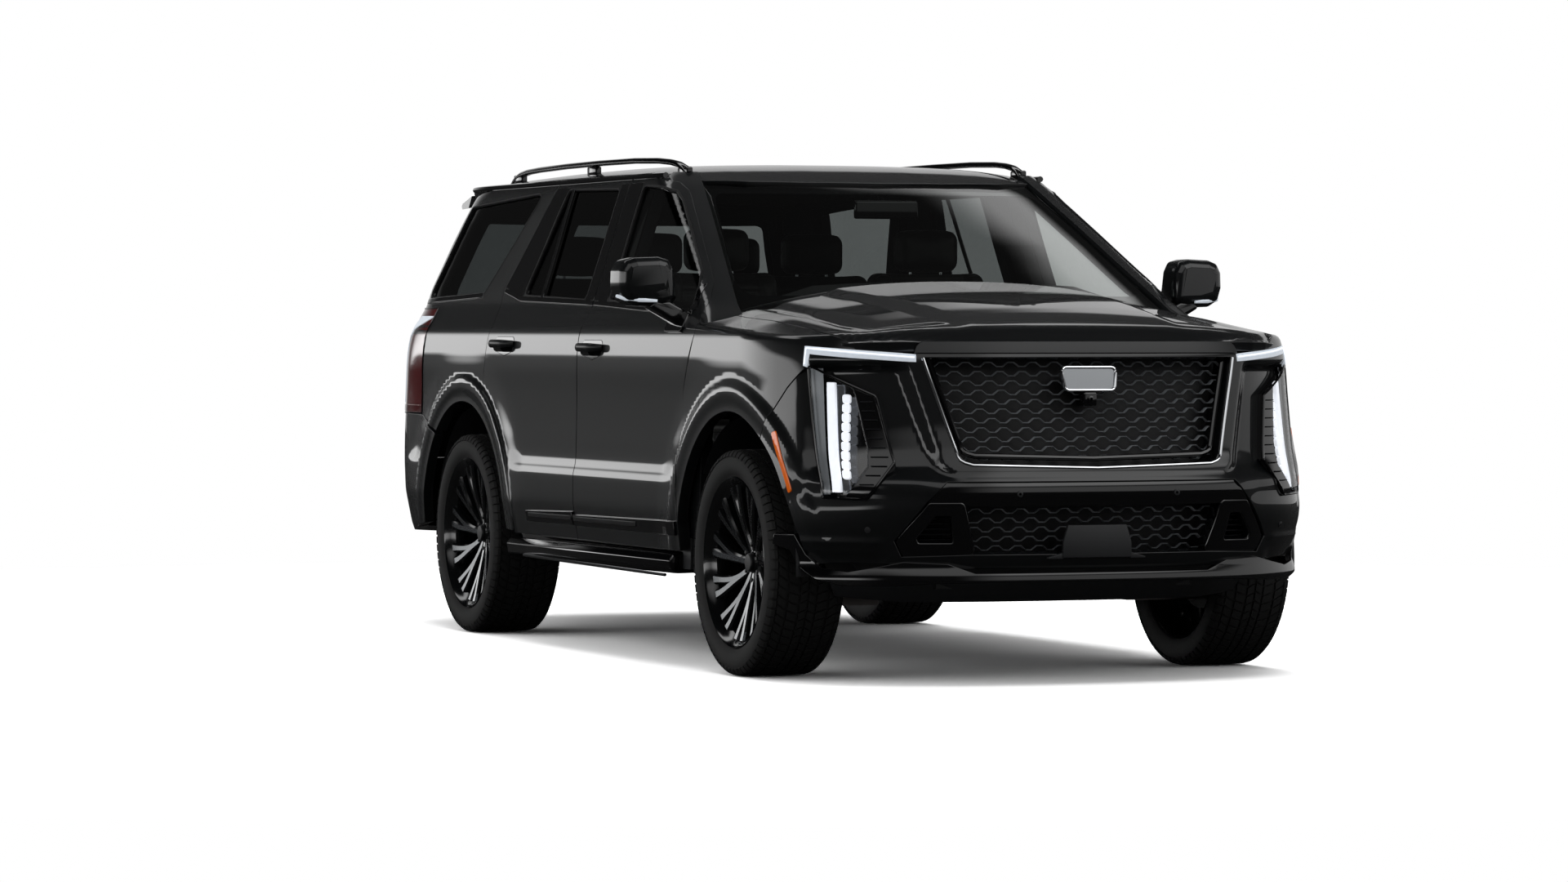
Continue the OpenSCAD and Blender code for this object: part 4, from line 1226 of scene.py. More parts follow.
class SUV_OT_front_body(bpy.types.Operator):
    """Make the hood, the fenders and the front bumper cover"""
    bl_idname = "suv.front_body"
    bl_label = "Front body"

    def execute(self, context):
        m = MATERIALS
        step = context.scene.suv_body.panel_step
        # fender
        arch = [side_st(y, z) for y, z in
                arc((FRONT_AXLE, HUB_HEIGHT), ARCH_RADIUS, 123.4, 13.0, 40)]
        seam = [side_st(y, z) for y, z in
                [(-1.2095, 0.530), (-1.2095, 0.650), (-1.2435, 1.010), (-1.3465, 1.224),
                 (-1.318, 1.262)]]
        top = [plan_st(x, y) for x, y in
               [(0.885, -1.30), (0.885, -1.40), (0.884, -1.57), (0.870, -1.80),
                (0.8525, -2.10), (0.8375, -2.345)]]
        nose = [(0.842, 1.168), (1.040, 1.180), (1.0475, 1.099), (1.139, 1.034), (1.226, 0.956)]
        loop = dense(seam + top + nose + arch, 0.035)
        left = panel(loop, fender_skin, step * 0.6, depth=0.04)
        place("front_fender_panels", mirrored(left), m["paint"], "body", "black_paint",
              ["front_fenders"])
        # hood: its top, then the lip over its front edge
        hood = [(0.8785, -1.400), (0.8785, -1.570), (0.8640, -1.80), (0.8465, -2.10),
                (0.8300, -2.345), (0.775, -2.400), (0.70, -2.4475), (0.60, -2.4835),
                (0.45, -2.5185), (0.30, -2.539), (0.15, -2.549), (0.0, -2.5515)]
        loop = dense(both(hood), 0.035)

        def hood_skin(x, y):
            """The hood, bent down over its front edge."""
            p = hood_top(x, y)
            edge = np.interp(np.abs(x), [q[0] for q in hood[:3:-1]],
                             [q[1] for q in hood[:3:-1]])
            p[..., 2] -= 0.030 * (1 - smoothstep(0.0, 0.10, y - edge)) ** 2
            return p
        sheet = panel(loop, hood_skin, step * 0.8, depth=0.035)
        place("hood_panel", sheet, m["paint"], "hood", "black_paint", ["hood"])
        inner = panel(dense(both([(x * 0.985, y + (0.012 if y < -1.6 else -0.012))
                                  for x, y in hood]), 0.05),
                      lambda x, y: hood_top(x, y) - np.array([0, 0, 0.036]), 0.05, depth=0.006,
                      facing=-1, lip=[])
        place("hood_inner_panel", inner, m["steel"], "hood", "black_paint")
        # bumper cover
        arch = [side_st(y, z) for y, z in
                arc((FRONT_AXLE, HUB_HEIGHT), ARCH_RADIUS, 124.0, 178.0, 22)]
        lower = [(1.11, 0.420), (0.90, 0.428), (0.72, 0.424), (0.62, 0.410), (0.0, 0.406)]
        upper = [(0.0, 1.150), (0.624, 1.150), (0.628, 1.121), (1.016, 1.1485), (1.036, 1.150),
                 (1.0425, 1.096), (1.134, 1.030), (1.2225, 0.951)]
        loop = dense(both(upper[1:] + arch + lower), 0.03)
        cover = panel(loop, fascia_skin, step * 0.42,
                      holes=[dense(both(GRILLE), 0.03), dense(LAMP, 0.03),
                             dense([(-x, y) for x, y in LAMP], 0.03), dense(both(INTAKE), 0.03)],
                      depth=0.035)
        place("front_bumper_cover", cover, m["paint"], "body", "black_paint", ["front_bumper"])
        return {"FINISHED"}


class SUV_OT_sides(bpy.types.Operator):
    """Make the doors, the rear quarters and the roof"""
    bl_idname = "suv.sides"
    bl_label = "Doors and sides"

    def execute(self, context):
        m = MATERIALS
        step = context.scene.suv_body.panel_step
        for name, outline, window in (("front", FRONT_DOOR, FRONT_WINDOW),
                                      ("rear", REAR_DOOR, REAR_WINDOW)):
            window = rounded(window, WINDOW_CORNER)
            skin = panel(dense(outline, 0.04), side, step * 0.75, holes=[dense(window, 0.05)],
                         depth=0.045)
            inner = [(y, min(z, 1.79)) for y, z in grown(outline, -0.04)]
            lining = panel(dense(inner, 0.05), side_in(0.105), 0.05,
                           holes=[dense(grown(window, 0.006), 0.06)], depth=0.05, facing=-1,
                           lip=LINING_LIP)
            glass = panel(dense(grown(window, 0.008), 0.04), side_in(GLASS_INSET), 0.022,
                          depth=0.004, lip=[])
            seal = window_seal(window, 0.010)
            for sign, hand in ((1, "left"), (-1, "right")):
                body = f"{name}_{hand}_door"
                parts = [b.copy() for b in (skin, lining, glass, seal)]
                if sign < 0:
                    parts = [mirrored(b, keep=False) for b in parts]
                place(f"{body}_skin", parts[0], m["paint"], body, "black_paint", [body])
                place(f"{body}_lining", parts[1], m["vinyl"], body, "cabin_trim")
                place(f"{body}_window", parts[2],
                      m["front_glass" if name == "front" else "tinted"], body, "window_glass",
                      [f"{name}_{hand}_glass"])
                place(f"{body}_seal", parts[3], m["rubber"], body, "moulded_trim")
            for b in (skin, lining, glass, seal):
                b.free()
        # rear quarter, from the door to the tailgate, lamps and bumper
        arch = arc((REAR_AXLE, HUB_HEIGHT), ARCH_RADIUS, 176.0, 50.0, 44)
        door_edge = [(0.699, 0.440)] + arc((REAR_AXLE, HUB_HEIGHT), 0.6375, 176.0, 113.3, 14) + [
            (1.084, 1.051), (1.028, 1.249), (1.080, 1.401), (0.786, 1.815), (0.76, 1.826)]
        top = [(1.30, 1.822), (1.62, 1.812), (1.90, 1.796), (2.06, 1.774)]
        back = [(2.12, 1.70), (2.205, 1.50), (2.262, 1.36), (2.265, 1.335), (2.150, 1.335),
                (2.130, 1.250), (2.115, 0.890), (1.898, 0.882)]
        loop = dense(door_edge + top + back + arch[::-1], 0.04)
        window = rounded(QUARTER_WINDOW, WINDOW_CORNER)
        quarter = panel(loop, side, step * 0.6, holes=[dense(window, 0.05)], depth=0.045)
        place("rear_quarter_panels", mirrored(quarter), m["paint"], "body", "black_paint",
              ["body_sides"])
        glass = panel(dense(grown(window, 0.008), 0.06), side_in(GLASS_INSET), 0.06,
                      depth=0.004, lip=[])
        place("quarter_window_panes", mirrored(glass), m["tinted"], "body", "window_glass",
              ["quarter_windows"])
        seal = window_seal(window, 0.010)
        place("quarter_window_seals", mirrored(seal), m["rubber"])
        # roof
        plan = [(0.0, -0.640), (0.30, -0.628), (0.52, -0.600), (0.66, -0.545), (0.730, -0.470),
                (0.768, -0.330), (0.780, -0.10), (0.780, 1.30), (0.772, 1.75), (0.745, 2.02),
                (0.690, 2.16), (0.55, 2.265), (0.30, 2.325), (0.0, 2.345)]
        roof = panel(dense(rounded(both(plan), 0.05), 0.05), roof_top, 0.05, depth=0.045)
        place("roof_skin", roof, m["paint"], "body", "black_paint", ["roof_panel"])
        # pillars beside the windshield
        pillar = bmesh.new()
        bmesh.ops.create_grid(pillar, x_segments=10, y_segments=36, size=0.5)
        uv = np.array([v.co[:2] for v in pillar.verts]) + 0.5
        z = 1.19 + uv[:, 1] * 0.645
        seam = DOOR_EDGE + [(-0.510, 1.792), (-0.43, 1.807), (-0.40, 1.84)]
        seam_y = np.interp(z, [p[1] for p in seam], [p[0] for p in seam])
        outer = np.array([cabin_side_s(y, h) for y, h in zip(seam_y, z)])
        edge_x = np.interp(z, [1.25, 1.335, 1.793, 1.85], [0.872, 0.850, 0.680, 0.66])
        inner = np.array([cabin_s(x, h) for x, h in zip(edge_x, z)])
        s = inner + (outer - 0.003 - inner) * uv[:, 0]
        skin = pillar.verts.layers.float_vector.new("skin")
        points, normals = cabin_front(s, z), surface_normals(cabin_front, s, z, 1)
        for v, p, n in zip(pillar.verts, points, normals):
            v.co = p
            v[skin] = n
        pillar.normal_update()
        if sum(f.normal.dot(f.verts[0][skin]) for f in pillar.faces) < 0:
            bmesh.ops.reverse_faces(pillar, faces=pillar.faces)
        rim = [e for e in pillar.edges if e.is_boundary]
        made = bmesh.ops.extrude_edge_only(pillar, edges=rim)["geom"]
        for v in [g for g in made if isinstance(g, bmesh.types.BMVert)]:
            n = Vector(next(e.other_vert(v)[skin] for e in v.link_edges
                            if Vector(e.other_vert(v)[skin]).length > 0.5))
            v.co -= n * 0.045
        for v in [g for g in made if isinstance(g, bmesh.types.BMVert)]:
            v[skin] = (0, 0, 0)
        place("windshield_pillars", mirrored(pillar), m["paint"], "body", "black_paint")
        # cowl under the windshield
        cowl = panel(dense(both([(0.88, -1.43), (0.88, -1.26), (0.5, -1.22), (0.2, -1.20)]), 0.06),
                     lambda x, y: hood_top(x, np.minimum(y, -1.40)) - np.array([0, 0, 0.026])
                     + np.stack([0 * x, y - np.minimum(y, -1.40), 0 * x], -1), 0.05, depth=0.02)
        place("cowl", cowl, m["plastic"])
        # windshield and the black border printed on it
        shield = [(0.868, 1.270), (0.853, 1.330), (0.683, 1.797)]
        loop = [(cabin_s(x, z), z) for x, z in dense(both(shield), 0.05)]
        glass = panel(loop, offset(cabin_front, GLASS_INSET), 0.05, depth=0.005, lip=[])
        place("windshield_pane", glass, m["windshield"], "body", "window_glass", ["windshield"])
        inner = rounded(both([(0.825, 1.375), (0.660, 1.765)]), 0.05)
        hole = [(cabin_s(x, z), z) for x, z in dense(inner, 0.05)]
        border = panel(loop, offset(cabin_front, 0.0185), 0.05, holes=[hole], depth=0)
        place("windshield_border", border, m["gloss"])
        return {"FINISHED"}


def window_seal(window, width):
    """A rubber bead round a window, on the left side."""
    bm = bmesh.new()
    loop = dense(window, 0.03)
    yz = np.array(loop)
    points = side_in(0.004)(yz[:, 0], yz[:, 1])
    add_tube(bm, points, width * 0.6, sides=6, closed=True, up=(1, 0, 0.3))
    return bm


# ---------------------------------------------------------------- front details
def wave_rows(bm, low, high, half_width, surface, pitch=0.083, rise=0.0325):
    """Rows of flattened waves, each row half a wave along from the last, laid on a surface."""
    count = int((high - low) / rise)
    for row in range(count + 1):
        z = low + row * rise
        reach = half_width(z)
        points = []
        k = -int(reach / pitch) - 2
        start = k * pitch + (pitch / 2 if row % 2 else 0)
        while start < reach:
            for along, up in ((0, -1), (0.27, -1), (0.50, 1), (0.77, 1)):
                x = start + along * pitch
                if abs(x) < reach:
                    points.append((x, z + up * 0.0075))
            start += pitch
        points = [(-reach, points[0][1])] + points + [(reach, points[-1][1])]
        st = np.array(points)
        add_tube(bm, surface(st[:, 0], st[:, 1]), 0.010, sides=6, flat=0.26)


def surface_tube(bm, points, surface, radius, lift=0.0, step=0.03, closed=False, **extra):
    """A bead along a line drawn on a surface."""
    loop = dense(points, step)
    if not closed:
        loop = loop[:len(loop) - max(1, int(math.dist(points[-1], points[0]) / step))]
        loop.append(points[-1])
    st = np.array(loop)
    path = surface(st[:, 0], st[:, 1])
    if lift:
        path = path + surface_normals(surface, st[:, 0], st[:, 1], 1) * lift
    add_tube(bm, path, radius, closed=closed, **extra)


def handed(points, way):
    """An outline as it is where way is 1, and its mirror image where way is -1."""
    return [(x * way, y) for x, y in points]


def disc(bm, at, normal, radius, depth, steps=24):
    """A small round button, such as a sensor, lying on a surface."""
    add_lathe(bm, [(0.0, depth), (radius * 0.8, depth), (radius, depth * 0.7), (radius, -depth)],
              at, normal, steps)


class SUV_OT_grille(bpy.types.Operator):
    """Make the grille, the lower intake and the parts set in them"""
    bl_idname = "suv.grille"
    bl_label = "Grille and intakes"

    def execute(self, context):
        m = MATERIALS
        back = panel(dense(both([(0.66, 1.17), (0.56, 0.76), (0.46, 0.74)]), 0.06),
                     front_step(0.095), 0.08, depth=0)
        low = panel(dense(both([(0.74, 0.66), (0.78, 0.43)]), 0.06), front_step(0.13), 0.08,
                    depth=0)
        place("grille_backing", joined(back, low), m["rubber"], "body", "grille_grey",
              ["grille"])
        bm = bmesh.new()
        wave_rows(bm, 0.789, 1.135, lambda z: 0.494 + (z - 0.80) * 0.294, front_step(0.050))
        wave_rows(bm, 0.478, 0.625, lambda z: 0.452 + (z - 0.466) * 0.18, front_step(0.060))
        place("grille_mesh", bm, m["dark_chrome"], "body", "grille_grey")
        # walls of the openings
        rim = []
        for outline, deep in ((both(GRILLE), 0.09), (both(INTAKE), 0.12)):
            rim.append(ribbon(dense(outline, 0.03), front_step(0.006), front_step(deep)))
        place("grille_walls", joined(*rim), m["gloss"])
        # bright line round the grille
        bm = bmesh.new()
        line = [(-0.6035, 1.136), (-0.5035, 0.797), (-0.497, 0.784), (-0.482, 0.775),
                (-0.455, 0.767), (0, 0.755), (0.455, 0.767), (0.482, 0.775), (0.497, 0.784),
                (0.5035, 0.797), (0.6035, 1.136)]
        surface_tube(bm, line, fascia_skin, 0.0055, lift=0.001, sides=8)
        place("grille_bright_line", bm, m["chrome"], "body", "grille_grey")
        # inner frame of the grille
        bm = bmesh.new()
        inner = [(x * 0.965, 0.79 + (z - 0.758) * 0.93) for x, z in line]
        surface_tube(bm, inner, front_step(0.030), 0.010, sides=8)
        place("grille_inner_frame", bm, m["gloss"])
        # bar at the front edge of the hood
        bar = panel(dense(both([(0.606, 1.1915), (0.622, 1.176), (0.630, 1.1545)]), 0.05),
                    front_wrap, 0.03, depth=0.03, lift=0.003)
        place("hood_front_bar", bar, m["satin"], "hood")
        # plain plate at the middle of the grille, and the camera under it
        face = rounded(both([(0.098, 1.098), (0.088, 1.030)]), 0.012)
        plate = panel(dense(face, 0.03), front_step(0.004), 0.02, depth=0.03, closed=True)
        place("grille_plate", plate, m["brushed"], "body", "grille_grey")
        bm = bmesh.new()
        surface_tube(bm, rounded(both([(0.104, 1.104), (0.094, 1.024)]), 0.016),
                     front_step(0.004), 0.0055, closed=True, sides=8)
        place("grille_plate_rim", bm, m["chrome"], "body", "grille_grey")
        bm = bmesh.new()
        y = float(front_wrap(np.array([0.0]), np.array([1.0]))[0][1])
        add_box(bm, (-0.026, y + 0.004, 0.968), (0.026, y + 0.075, 1.018), 0.008)
        disc(bm, (0, y + 0.002, 0.992), (0, -1, 0), 0.013, 0.006)
        place("front_camera", bm, m["gloss"])
        # band over the lower intake
        band = panel(dense(both([(0.553, 0.711), (0.621, 0.640), (0.500, 0.634), (0.472, 0.628)]),
                           0.05), front_step(0.008),
                     0.04, depth=0.05)
        place("front_band", band, m["gloss"])
        bm = bmesh.new()
        for s, z in ((0.30, 0.668), (-0.30, 0.668)):
            p = front_step(0.008)(np.array([s]), np.array([z]))[0]
            disc(bm, tuple(p), (0, -1, 0.05), 0.011, 0.003)
        for s, z in ((0.828, 0.544), (-0.828, 0.544)):
            p = fascia_skin(np.array([s]), np.array([z]))[0]
            n = surface_normals(fascia_skin, np.array([s]), np.array([z]), 1)[0]
            disc(bm, tuple(p), tuple(n), 0.011, 0.003)
        place("front_sensors", bm, m["plastic"])
        # side inlets
        outer = [(0.500, 0.633), (0.616, 0.633), (0.722, 0.506), (0.700, 0.455), (0.452, 0.458)]
        hole = [(0.535, 0.598), (0.596, 0.598), (0.664, 0.516), (0.652, 0.492), (0.520, 0.492)]
        frames = []
        for way in (1, -1):
            turn = partial(handed, way=way)
            frames.append(panel(dense(turn(rounded(outer, 0.012)), 0.03), front_step(0.006), 0.03,
                                holes=[dense(turn(rounded(hole, 0.012)), 0.03)], depth=0.05,
                                lip=[(0.003, 0.0005), (0.006, 0.003), (0.008, 0.008)]))
        place("front_inlet_frames", joined(*frames), m["gloss"])
        bm = bmesh.new()
        for k in range(5):
            z = 0.508 + k * 0.019
            for way in (1, -1):
                path = front_step(0.05)(np.array([0.53, 0.60, 0.665]) * way, np.full(3, z))
                add_tube(bm, path, 0.014, sides=6, flat=0.22)
        place("front_inlet_slats", bm, m["plastic"])
        # splitter under the bumper
        top = [(0.0, 0.389), (0.452, 0.391), (0.545, 0.424), (0.70, 0.431), (0.80, 0.412),
               (0.90, 0.396), (1.0, 0.408), (1.07, 0.452), (1.125, 0.520), (1.232, 0.520)]
        bottom = [(1.242, 0.488), (1.145, 0.470), (1.10, 0.414), (1.02, 0.372), (0.92, 0.350),
                  (0.74, 0.352), (0.60, 0.360), (0.40, 0.364), (0.0, 0.364)]
        blade = panel(dense(both(top[1:] + bottom[:-1]), 0.03), splitter_skin, 0.02, depth=0.05,
                      closed=True)
        place("front_splitter", blade, m["gloss"])
        # cover under the front
        tray = panel(dense(both([(1.0, 0.42), (0.94, 0.300), (0.66, 0.282)]), 0.05),
                     front_step(0.16), 0.06, depth=0.10)
        place("front_valance", tray, m["plastic"])
        # plate holder, bare
        y = float(front_wrap(np.array([0.0]), np.array([0.5]))[0][1])
        bm = bmesh.new()
        outline = [(-0.112, 0.558), (0.112, 0.558), (0.130, 0.500), (0.132, 0.444),
                   (-0.132, 0.444), (-0.130, 0.500)]
        add_prism(bm, outline, y - 0.004, y + 0.012, "y", bevel=0.004)
        for way in (1, -1):
            fin = [(0.128 * way, 0.462), (0.185 * way, 0.446), (0.185 * way, 0.441),
                   (0.128 * way, 0.441)]
            add_prism(bm, fin, y + 0.0, y + 0.03, "y", bevel=0.0015)
        add_box(bm, (-0.10, y + 0.01, 0.452), (0.10, y + 0.11, 0.475), 0.004)
        place("plate_holder", bm, m["plastic"], "body", "moulded_trim", ["plate_bracket"])
        return {"FINISHED"}


def ribbon(loop, outer, inner):
    """A wall between one outline laid on two surfaces."""
    bm = bmesh.new()
    st = np.array(loop)
    rows = [[bm.verts.new(p) for p in surface(st[:, 0], st[:, 1])] for surface in (outer, inner)]
    for k in range(len(loop)):
        j = (k + 1) % len(loop)
        bm.faces.new((rows[0][k], rows[0][j], rows[1][j], rows[1][k]))
    return bm


def splitter_skin(s, z):
    """The lower lip of the bumper, which stands out a little and turns under."""
    p = front_wrap(s, np.maximum(z, 0.44))
    p[..., 2] = z
    out = 0.006 + 0.012 * smoothstep(0.43, 0.37, z)
    p[..., 1] -= out * (1 - smoothstep(1.0, 1.25, np.abs(s)))
    p[..., 0] += np.sign(s) * out * 0.8 * smoothstep(0.75, 1.1, np.abs(s))
    return p


class SUV_OT_headlamps(bpy.types.Operator):
    """Make the headlamps, the running lights and the side markers"""
    bl_idname = "suv.headlamps"
    bl_label = "Headlamps"

    def execute(self, context):
        m = MATERIALS
        lens = [(1.020, 1.108), (1.005, 0.658), (0.924, 0.662), (0.826, 0.762), (0.818, 0.824),
                (0.854, 1.030)]
        slats = [(0.848, 1.028), (0.812, 0.824), (0.820, 0.758), (0.916, 0.660), (0.846, 0.654),
                 (0.732, 0.778), (0.780, 1.002)]
        bar = [(0.922, 1.050), (0.950, 1.050), (0.966, 0.675), (0.936, 0.675)]
        lenses, trims, buckets, bars, cells, fins, brows, inner = [], [], [], [], [], [], [], []
        markers = []
        for way in (1, -1):
            turn = partial(handed, way=way)
            lenses.append(panel(dense(turn(lens), 0.03), front_step(0.001), 0.03, depth=0.02))
            trims.append(panel(dense(turn(slats), 0.03), front_step(0.004), 0.03, depth=0.02))
            buckets.append(panel(dense(turn(grown(LAMP, 0.015)), 0.05), front_step(0.075), 0.05,
                                 depth=0))
            buckets.append(ribbon(dense(turn(LAMP), 0.04), front_step(0.012), front_step(0.075)))
            bars.append(panel(dense(turn(bar), 0.03), front_step(0.020), 0.03, depth=0.015,
                              closed=True))
            # reflector wall beside the bar
            inner.append(panel(dense(turn([(0.962, 1.10), (0.975, 0.665), (1.004, 0.665),
                                           (1.016, 1.10)]), 0.04), front_step(0.022), 0.03,
                               depth=0))
            bm = bmesh.new()
            for k in range(9):
                z = 0.995 - k * 0.0325
                s0 = 0.866 + (0.995 - z) * 0.10
                cell = panel(turn(rounded([(s0, z + 0.013), (s0 + 0.026, z + 0.013),
                                           (s0 + 0.027, z - 0.013), (s0 + 0.002, z - 0.013)],
                                          0.006)), front_step(0.024), 0.03, depth=0.012)
                cells.append(cell)
            for k in range(10):
                z = 0.985 - k * 0.0315
                left = np.interp(z, [0.66, 0.778, 1.002], [0.842, 0.734, 0.782])
                right = np.interp(z, [0.66, 0.76, 0.824, 1.028], [0.905, 0.818, 0.810, 0.846])
                if right - left < 0.03:
                    continue
                path = front_step(0.001)(np.linspace(left + 0.008, right - 0.006, 4) * way,
                                         np.full(4, z))
                add_tube(bm, path, 0.0045, sides=6, flat=0.4)
            fins.append(bm)
            brow = [(0.6285, 1.1475), (0.70, 1.153), (0.86, 1.164), (1.036, 1.176),
                    (1.046, 1.110), (1.031, 1.106), (1.018, 1.152), (0.86, 1.139),
                    (0.70, 1.129), (0.6285, 1.1245)]
            brows.append(panel(dense(turn(brow), 0.03), front_wrap, 0.02, depth=0.02, lift=0.002))
            marker = [(1.191, 0.880), (1.2145, 0.874), (1.166, 0.668), (1.146, 0.676)]
            markers.append(panel(dense(turn(rounded(marker, 0.006)), 0.03), fascia_skin, 0.02,
                                 depth=0.004, lift=0.004))
        place("headlamp_lenses", joined(*lenses), m["lens"], "body", "lamp_clear", ["headlamps"])
        place("headlamp_trims", joined(*trims), m["gloss"])
        place("headlamp_buckets", joined(*buckets), m["gloss"])
        place("headlamp_light_bars", joined(*bars), m["led"], "body", "lamp_clear")
        place("headlamp_light_cells", joined(*cells), m["led"], "body", "lamp_clear")
        place("headlamp_reflectors", joined(*inner), m["dark_chrome"], "body", "lamp_clear")
        place("headlamp_fins", joined(*fins), m["plastic"])
        place("running_lights", joined(*brows), m["led_dim"], "body", "lamp_clear")
        place("side_markers", joined(*markers), m["amber"], "body", "lamp_clear")
        # bead round each lamp and a bright line in each running light
        bm = bmesh.new()
        for way in (1, -1):
            turn = partial(handed, way=way)
            surface_tube(bm, turn(rounded(grown(LAMP, -0.001), 0.01)), front_step(0.002), 0.004,
                         closed=True, sides=6)
        place("headlamp_beads", bm, m["gloss"])
        bm = bmesh.new()
        for way in (1, -1):
            turn = partial(handed, way=way)
            line = [(0.632, 1.138), (0.86, 1.156), (1.030, 1.170), (1.040, 1.114)]
            surface_tube(bm, turn(line), front_wrap, 0.0035, lift=0.0035, sides=6)
        place("running_light_lines", bm, m["led"], "body", "lamp_clear")
        return {"FINISHED"}


# ---------------------------------------------------------------- side details
def side_strip(y0, y1, z0, z1, lift):
    """A strip along the left side between two stations; z0 and z1 are (low, high) at each."""
    loop = [(y0, z0[0]), (y1, z1[0]), (y1, z1[1]), (y0, z0[1])]
    return panel(dense(loop, 0.06), side, 0.05, depth=0.012, lift=lift)


def both_hands(name, bm, material, body, slot="moulded_trim", replaces=()):
    """Places a left-hand mesh and its mirror image on the two bodies of that name."""
    for sign, hand in ((1, "left"), (-1, "right")):
        part = bm.copy()
        if sign < 0:
            part = mirrored(part, keep=False)
        own = body.format(hand)
        place(f"{own}_{name}", part, material, own, slot,
              [r.format(hand) for r in replaces])
    bm.free()


class SUV_OT_trim(bpy.types.Operator):
    """Make the handles, mouldings, window bars, mirrors, running boards and roof rails"""
    bl_idname = "suv.trim"
    bl_label = "Side trim"

    def execute(self, context):
        m = MATERIALS
        reach = context.scene.suv_body.handle_length
        # body frame behind the door gaps
        frame_loop = ([(-1.30, 0.445), (-1.345, 1.10), (-1.365, 1.24), (-1.330, 1.33)]
                      + pillar_line(0.036, (1.42, 1.50, 1.58, 1.66, 1.74))
                      + [(-0.50, 1.806), (-0.40, 1.822),
                         (0.80, 1.822), (1.16, 1.40), (1.10, 1.20), (1.13, 1.07)]
                      + arc((REAR_AXLE, HUB_HEIGHT), 0.59, 110.0, 176.0, 14))
        holes = [dense(grown(FRONT_DOOR, -0.040), 0.06), dense(grown(REAR_DOOR, -0.040), 0.06)]
        frame = panel(dense(frame_loop, 0.06), side_in(0.052), 0.05, holes=holes, depth=0.05)
        place("door_frames", mirrored(frame), m["paint"], "body", "black_paint")
        for name, y0 in (("front", -0.424), ("rear", 0.638)):
            z = 1.168 if name == "front" else 1.180
            mid = y0 + 0.18
            half = reach / 2
            cup = panel(dense(rounded([(mid - 0.12, z + 0.026), (mid + 0.12, z + 0.026),
                                       (mid + 0.10, z - 0.030), (mid, z - 0.048),
                                       (mid - 0.10, z - 0.030)], 0.03), 0.02),
                        side, 0.02, depth=0.004, lift=0.0012)
            both_hands("handle_cup", cup, m["gloss"], name + "_{}_door")
            at = np.array([mid - half, mid - half + 0.012, mid - half + 0.035, mid - 0.05,
                           mid + 0.05, mid + half - 0.035, mid + half - 0.012, mid + half])
            out = np.array([0.002, 0.022, 0.034, 0.038, 0.038, 0.034, 0.022, 0.002])
            points = side(at, np.full(8, z))
            points[:, 0] += out
            bm = bmesh.new()
            add_tube(bm, points, [0.012, 0.014, 0.016, 0.0165, 0.0165, 0.016, 0.014, 0.012],
                     sides=12, flat=0.62, up=(1, 0, 0))
            both_hands("handle", bm, m["satin"], name + "_{}_door")
            bm = bmesh.new()
            points = side(np.array([mid - 0.045, mid + 0.045]), np.full(2, z - 0.016))
            points[:, 0] += 0.016
            add_tube(bm, points, 0.017, sides=10)
            both_hands("handle_foot", bm, m["gloss"], name + "_{}_door")
        # mouldings low on the doors
        for name, y0, y1, bright in (("front", -1.190, -0.036, (-0.75, -0.045)),
                                     ("rear", -0.020, 0.535, (-0.012, 0.50))):
            strip = side_strip(y0, y1, (0.486, 0.534), (0.484, 0.522), 0.010)
            both_hands("moulding", strip, m["gloss"], name + "_{}_door")
            strip = side_strip(bright[0], bright[1], (0.505, 0.519), (0.503, 0.516), 0.013)
            both_hands("moulding_insert", strip, m["satin"], name + "_{}_door")
        # black covers on the pillars between the windows
        cover = panel(dense([(-0.234, 1.335), (-0.088, 1.335), (-0.0885, 1.797),
                             (-0.234, 1.796)], 0.05), side, 0.05, depth=0.006, lift=0.002)
        both_hands("pillar_cover", cover, m["gloss"], "front_{}_door")
        covers = [panel(dense([(-0.068, 1.335), (0.020, 1.335), (0.010, 1.797),
                               (-0.069, 1.797)], 0.05), side, 0.05, depth=0.006, lift=0.002),
                  panel(dense([(0.640, 1.795), (0.808, 1.362), (1.052, 1.404), (0.776, 1.800)],
                              0.05), side, 0.05, depth=0.006, lift=0.002),
                  panel(dense([(0.548, 1.350), (0.572, 1.350), (0.590, 1.790), (0.566, 1.790)],
                              0.05), side, 0.05, depth=0.006, lift=0.003)]
        both_hands("pillar_covers", joined(*covers), m["gloss"], "rear_{}_door")
        # strips under and over the windows
        belt = [(-1.222, 1.292), (-0.66, 1.307), (-0.09, 1.330), (-0.09, 1.345),
                (-0.66, 1.3225), (-1.215, 1.303)]
        both_hands("belt", panel(dense(belt, 0.05), side, 0.05, depth=0.008, lift=0.004),
                   m["gloss"], "front_{}_door")
        belt = [(-0.068, 1.330), (0.815, 1.350), (1.045, 1.386), (1.040, 1.402),
                (0.806, 1.366), (-0.068, 1.346)]
        both_hands("belt", panel(dense(belt, 0.05), side, 0.05, depth=0.008, lift=0.004),
                   m["gloss"], "rear_{}_door")
        belt = [(1.318, 1.368), (2.10, 1.347), (2.095, 1.362), (1.322, 1.384)]
        strip = panel(dense(belt, 0.05), side, 0.05, depth=0.008, lift=0.004)
        place("quarter_belts", mirrored(strip), m["gloss"])
        # small fixed corner ahead of the front window
        corner = [(-1.262, 1.312), (-1.205, 1.303), (-1.180, 1.392), (-1.192, 1.404)]
        both_hands("window_corner", panel(dense(corner, 0.04), side, 0.04, depth=0.006,
                                          lift=0.002), m["gloss"], "front_{}_door",
                   "moulded_trim")
        self.mirrors(m)
        self.boards(m)
        self.rails(m)
        self.liners(m)
        return {"FINISHED"}

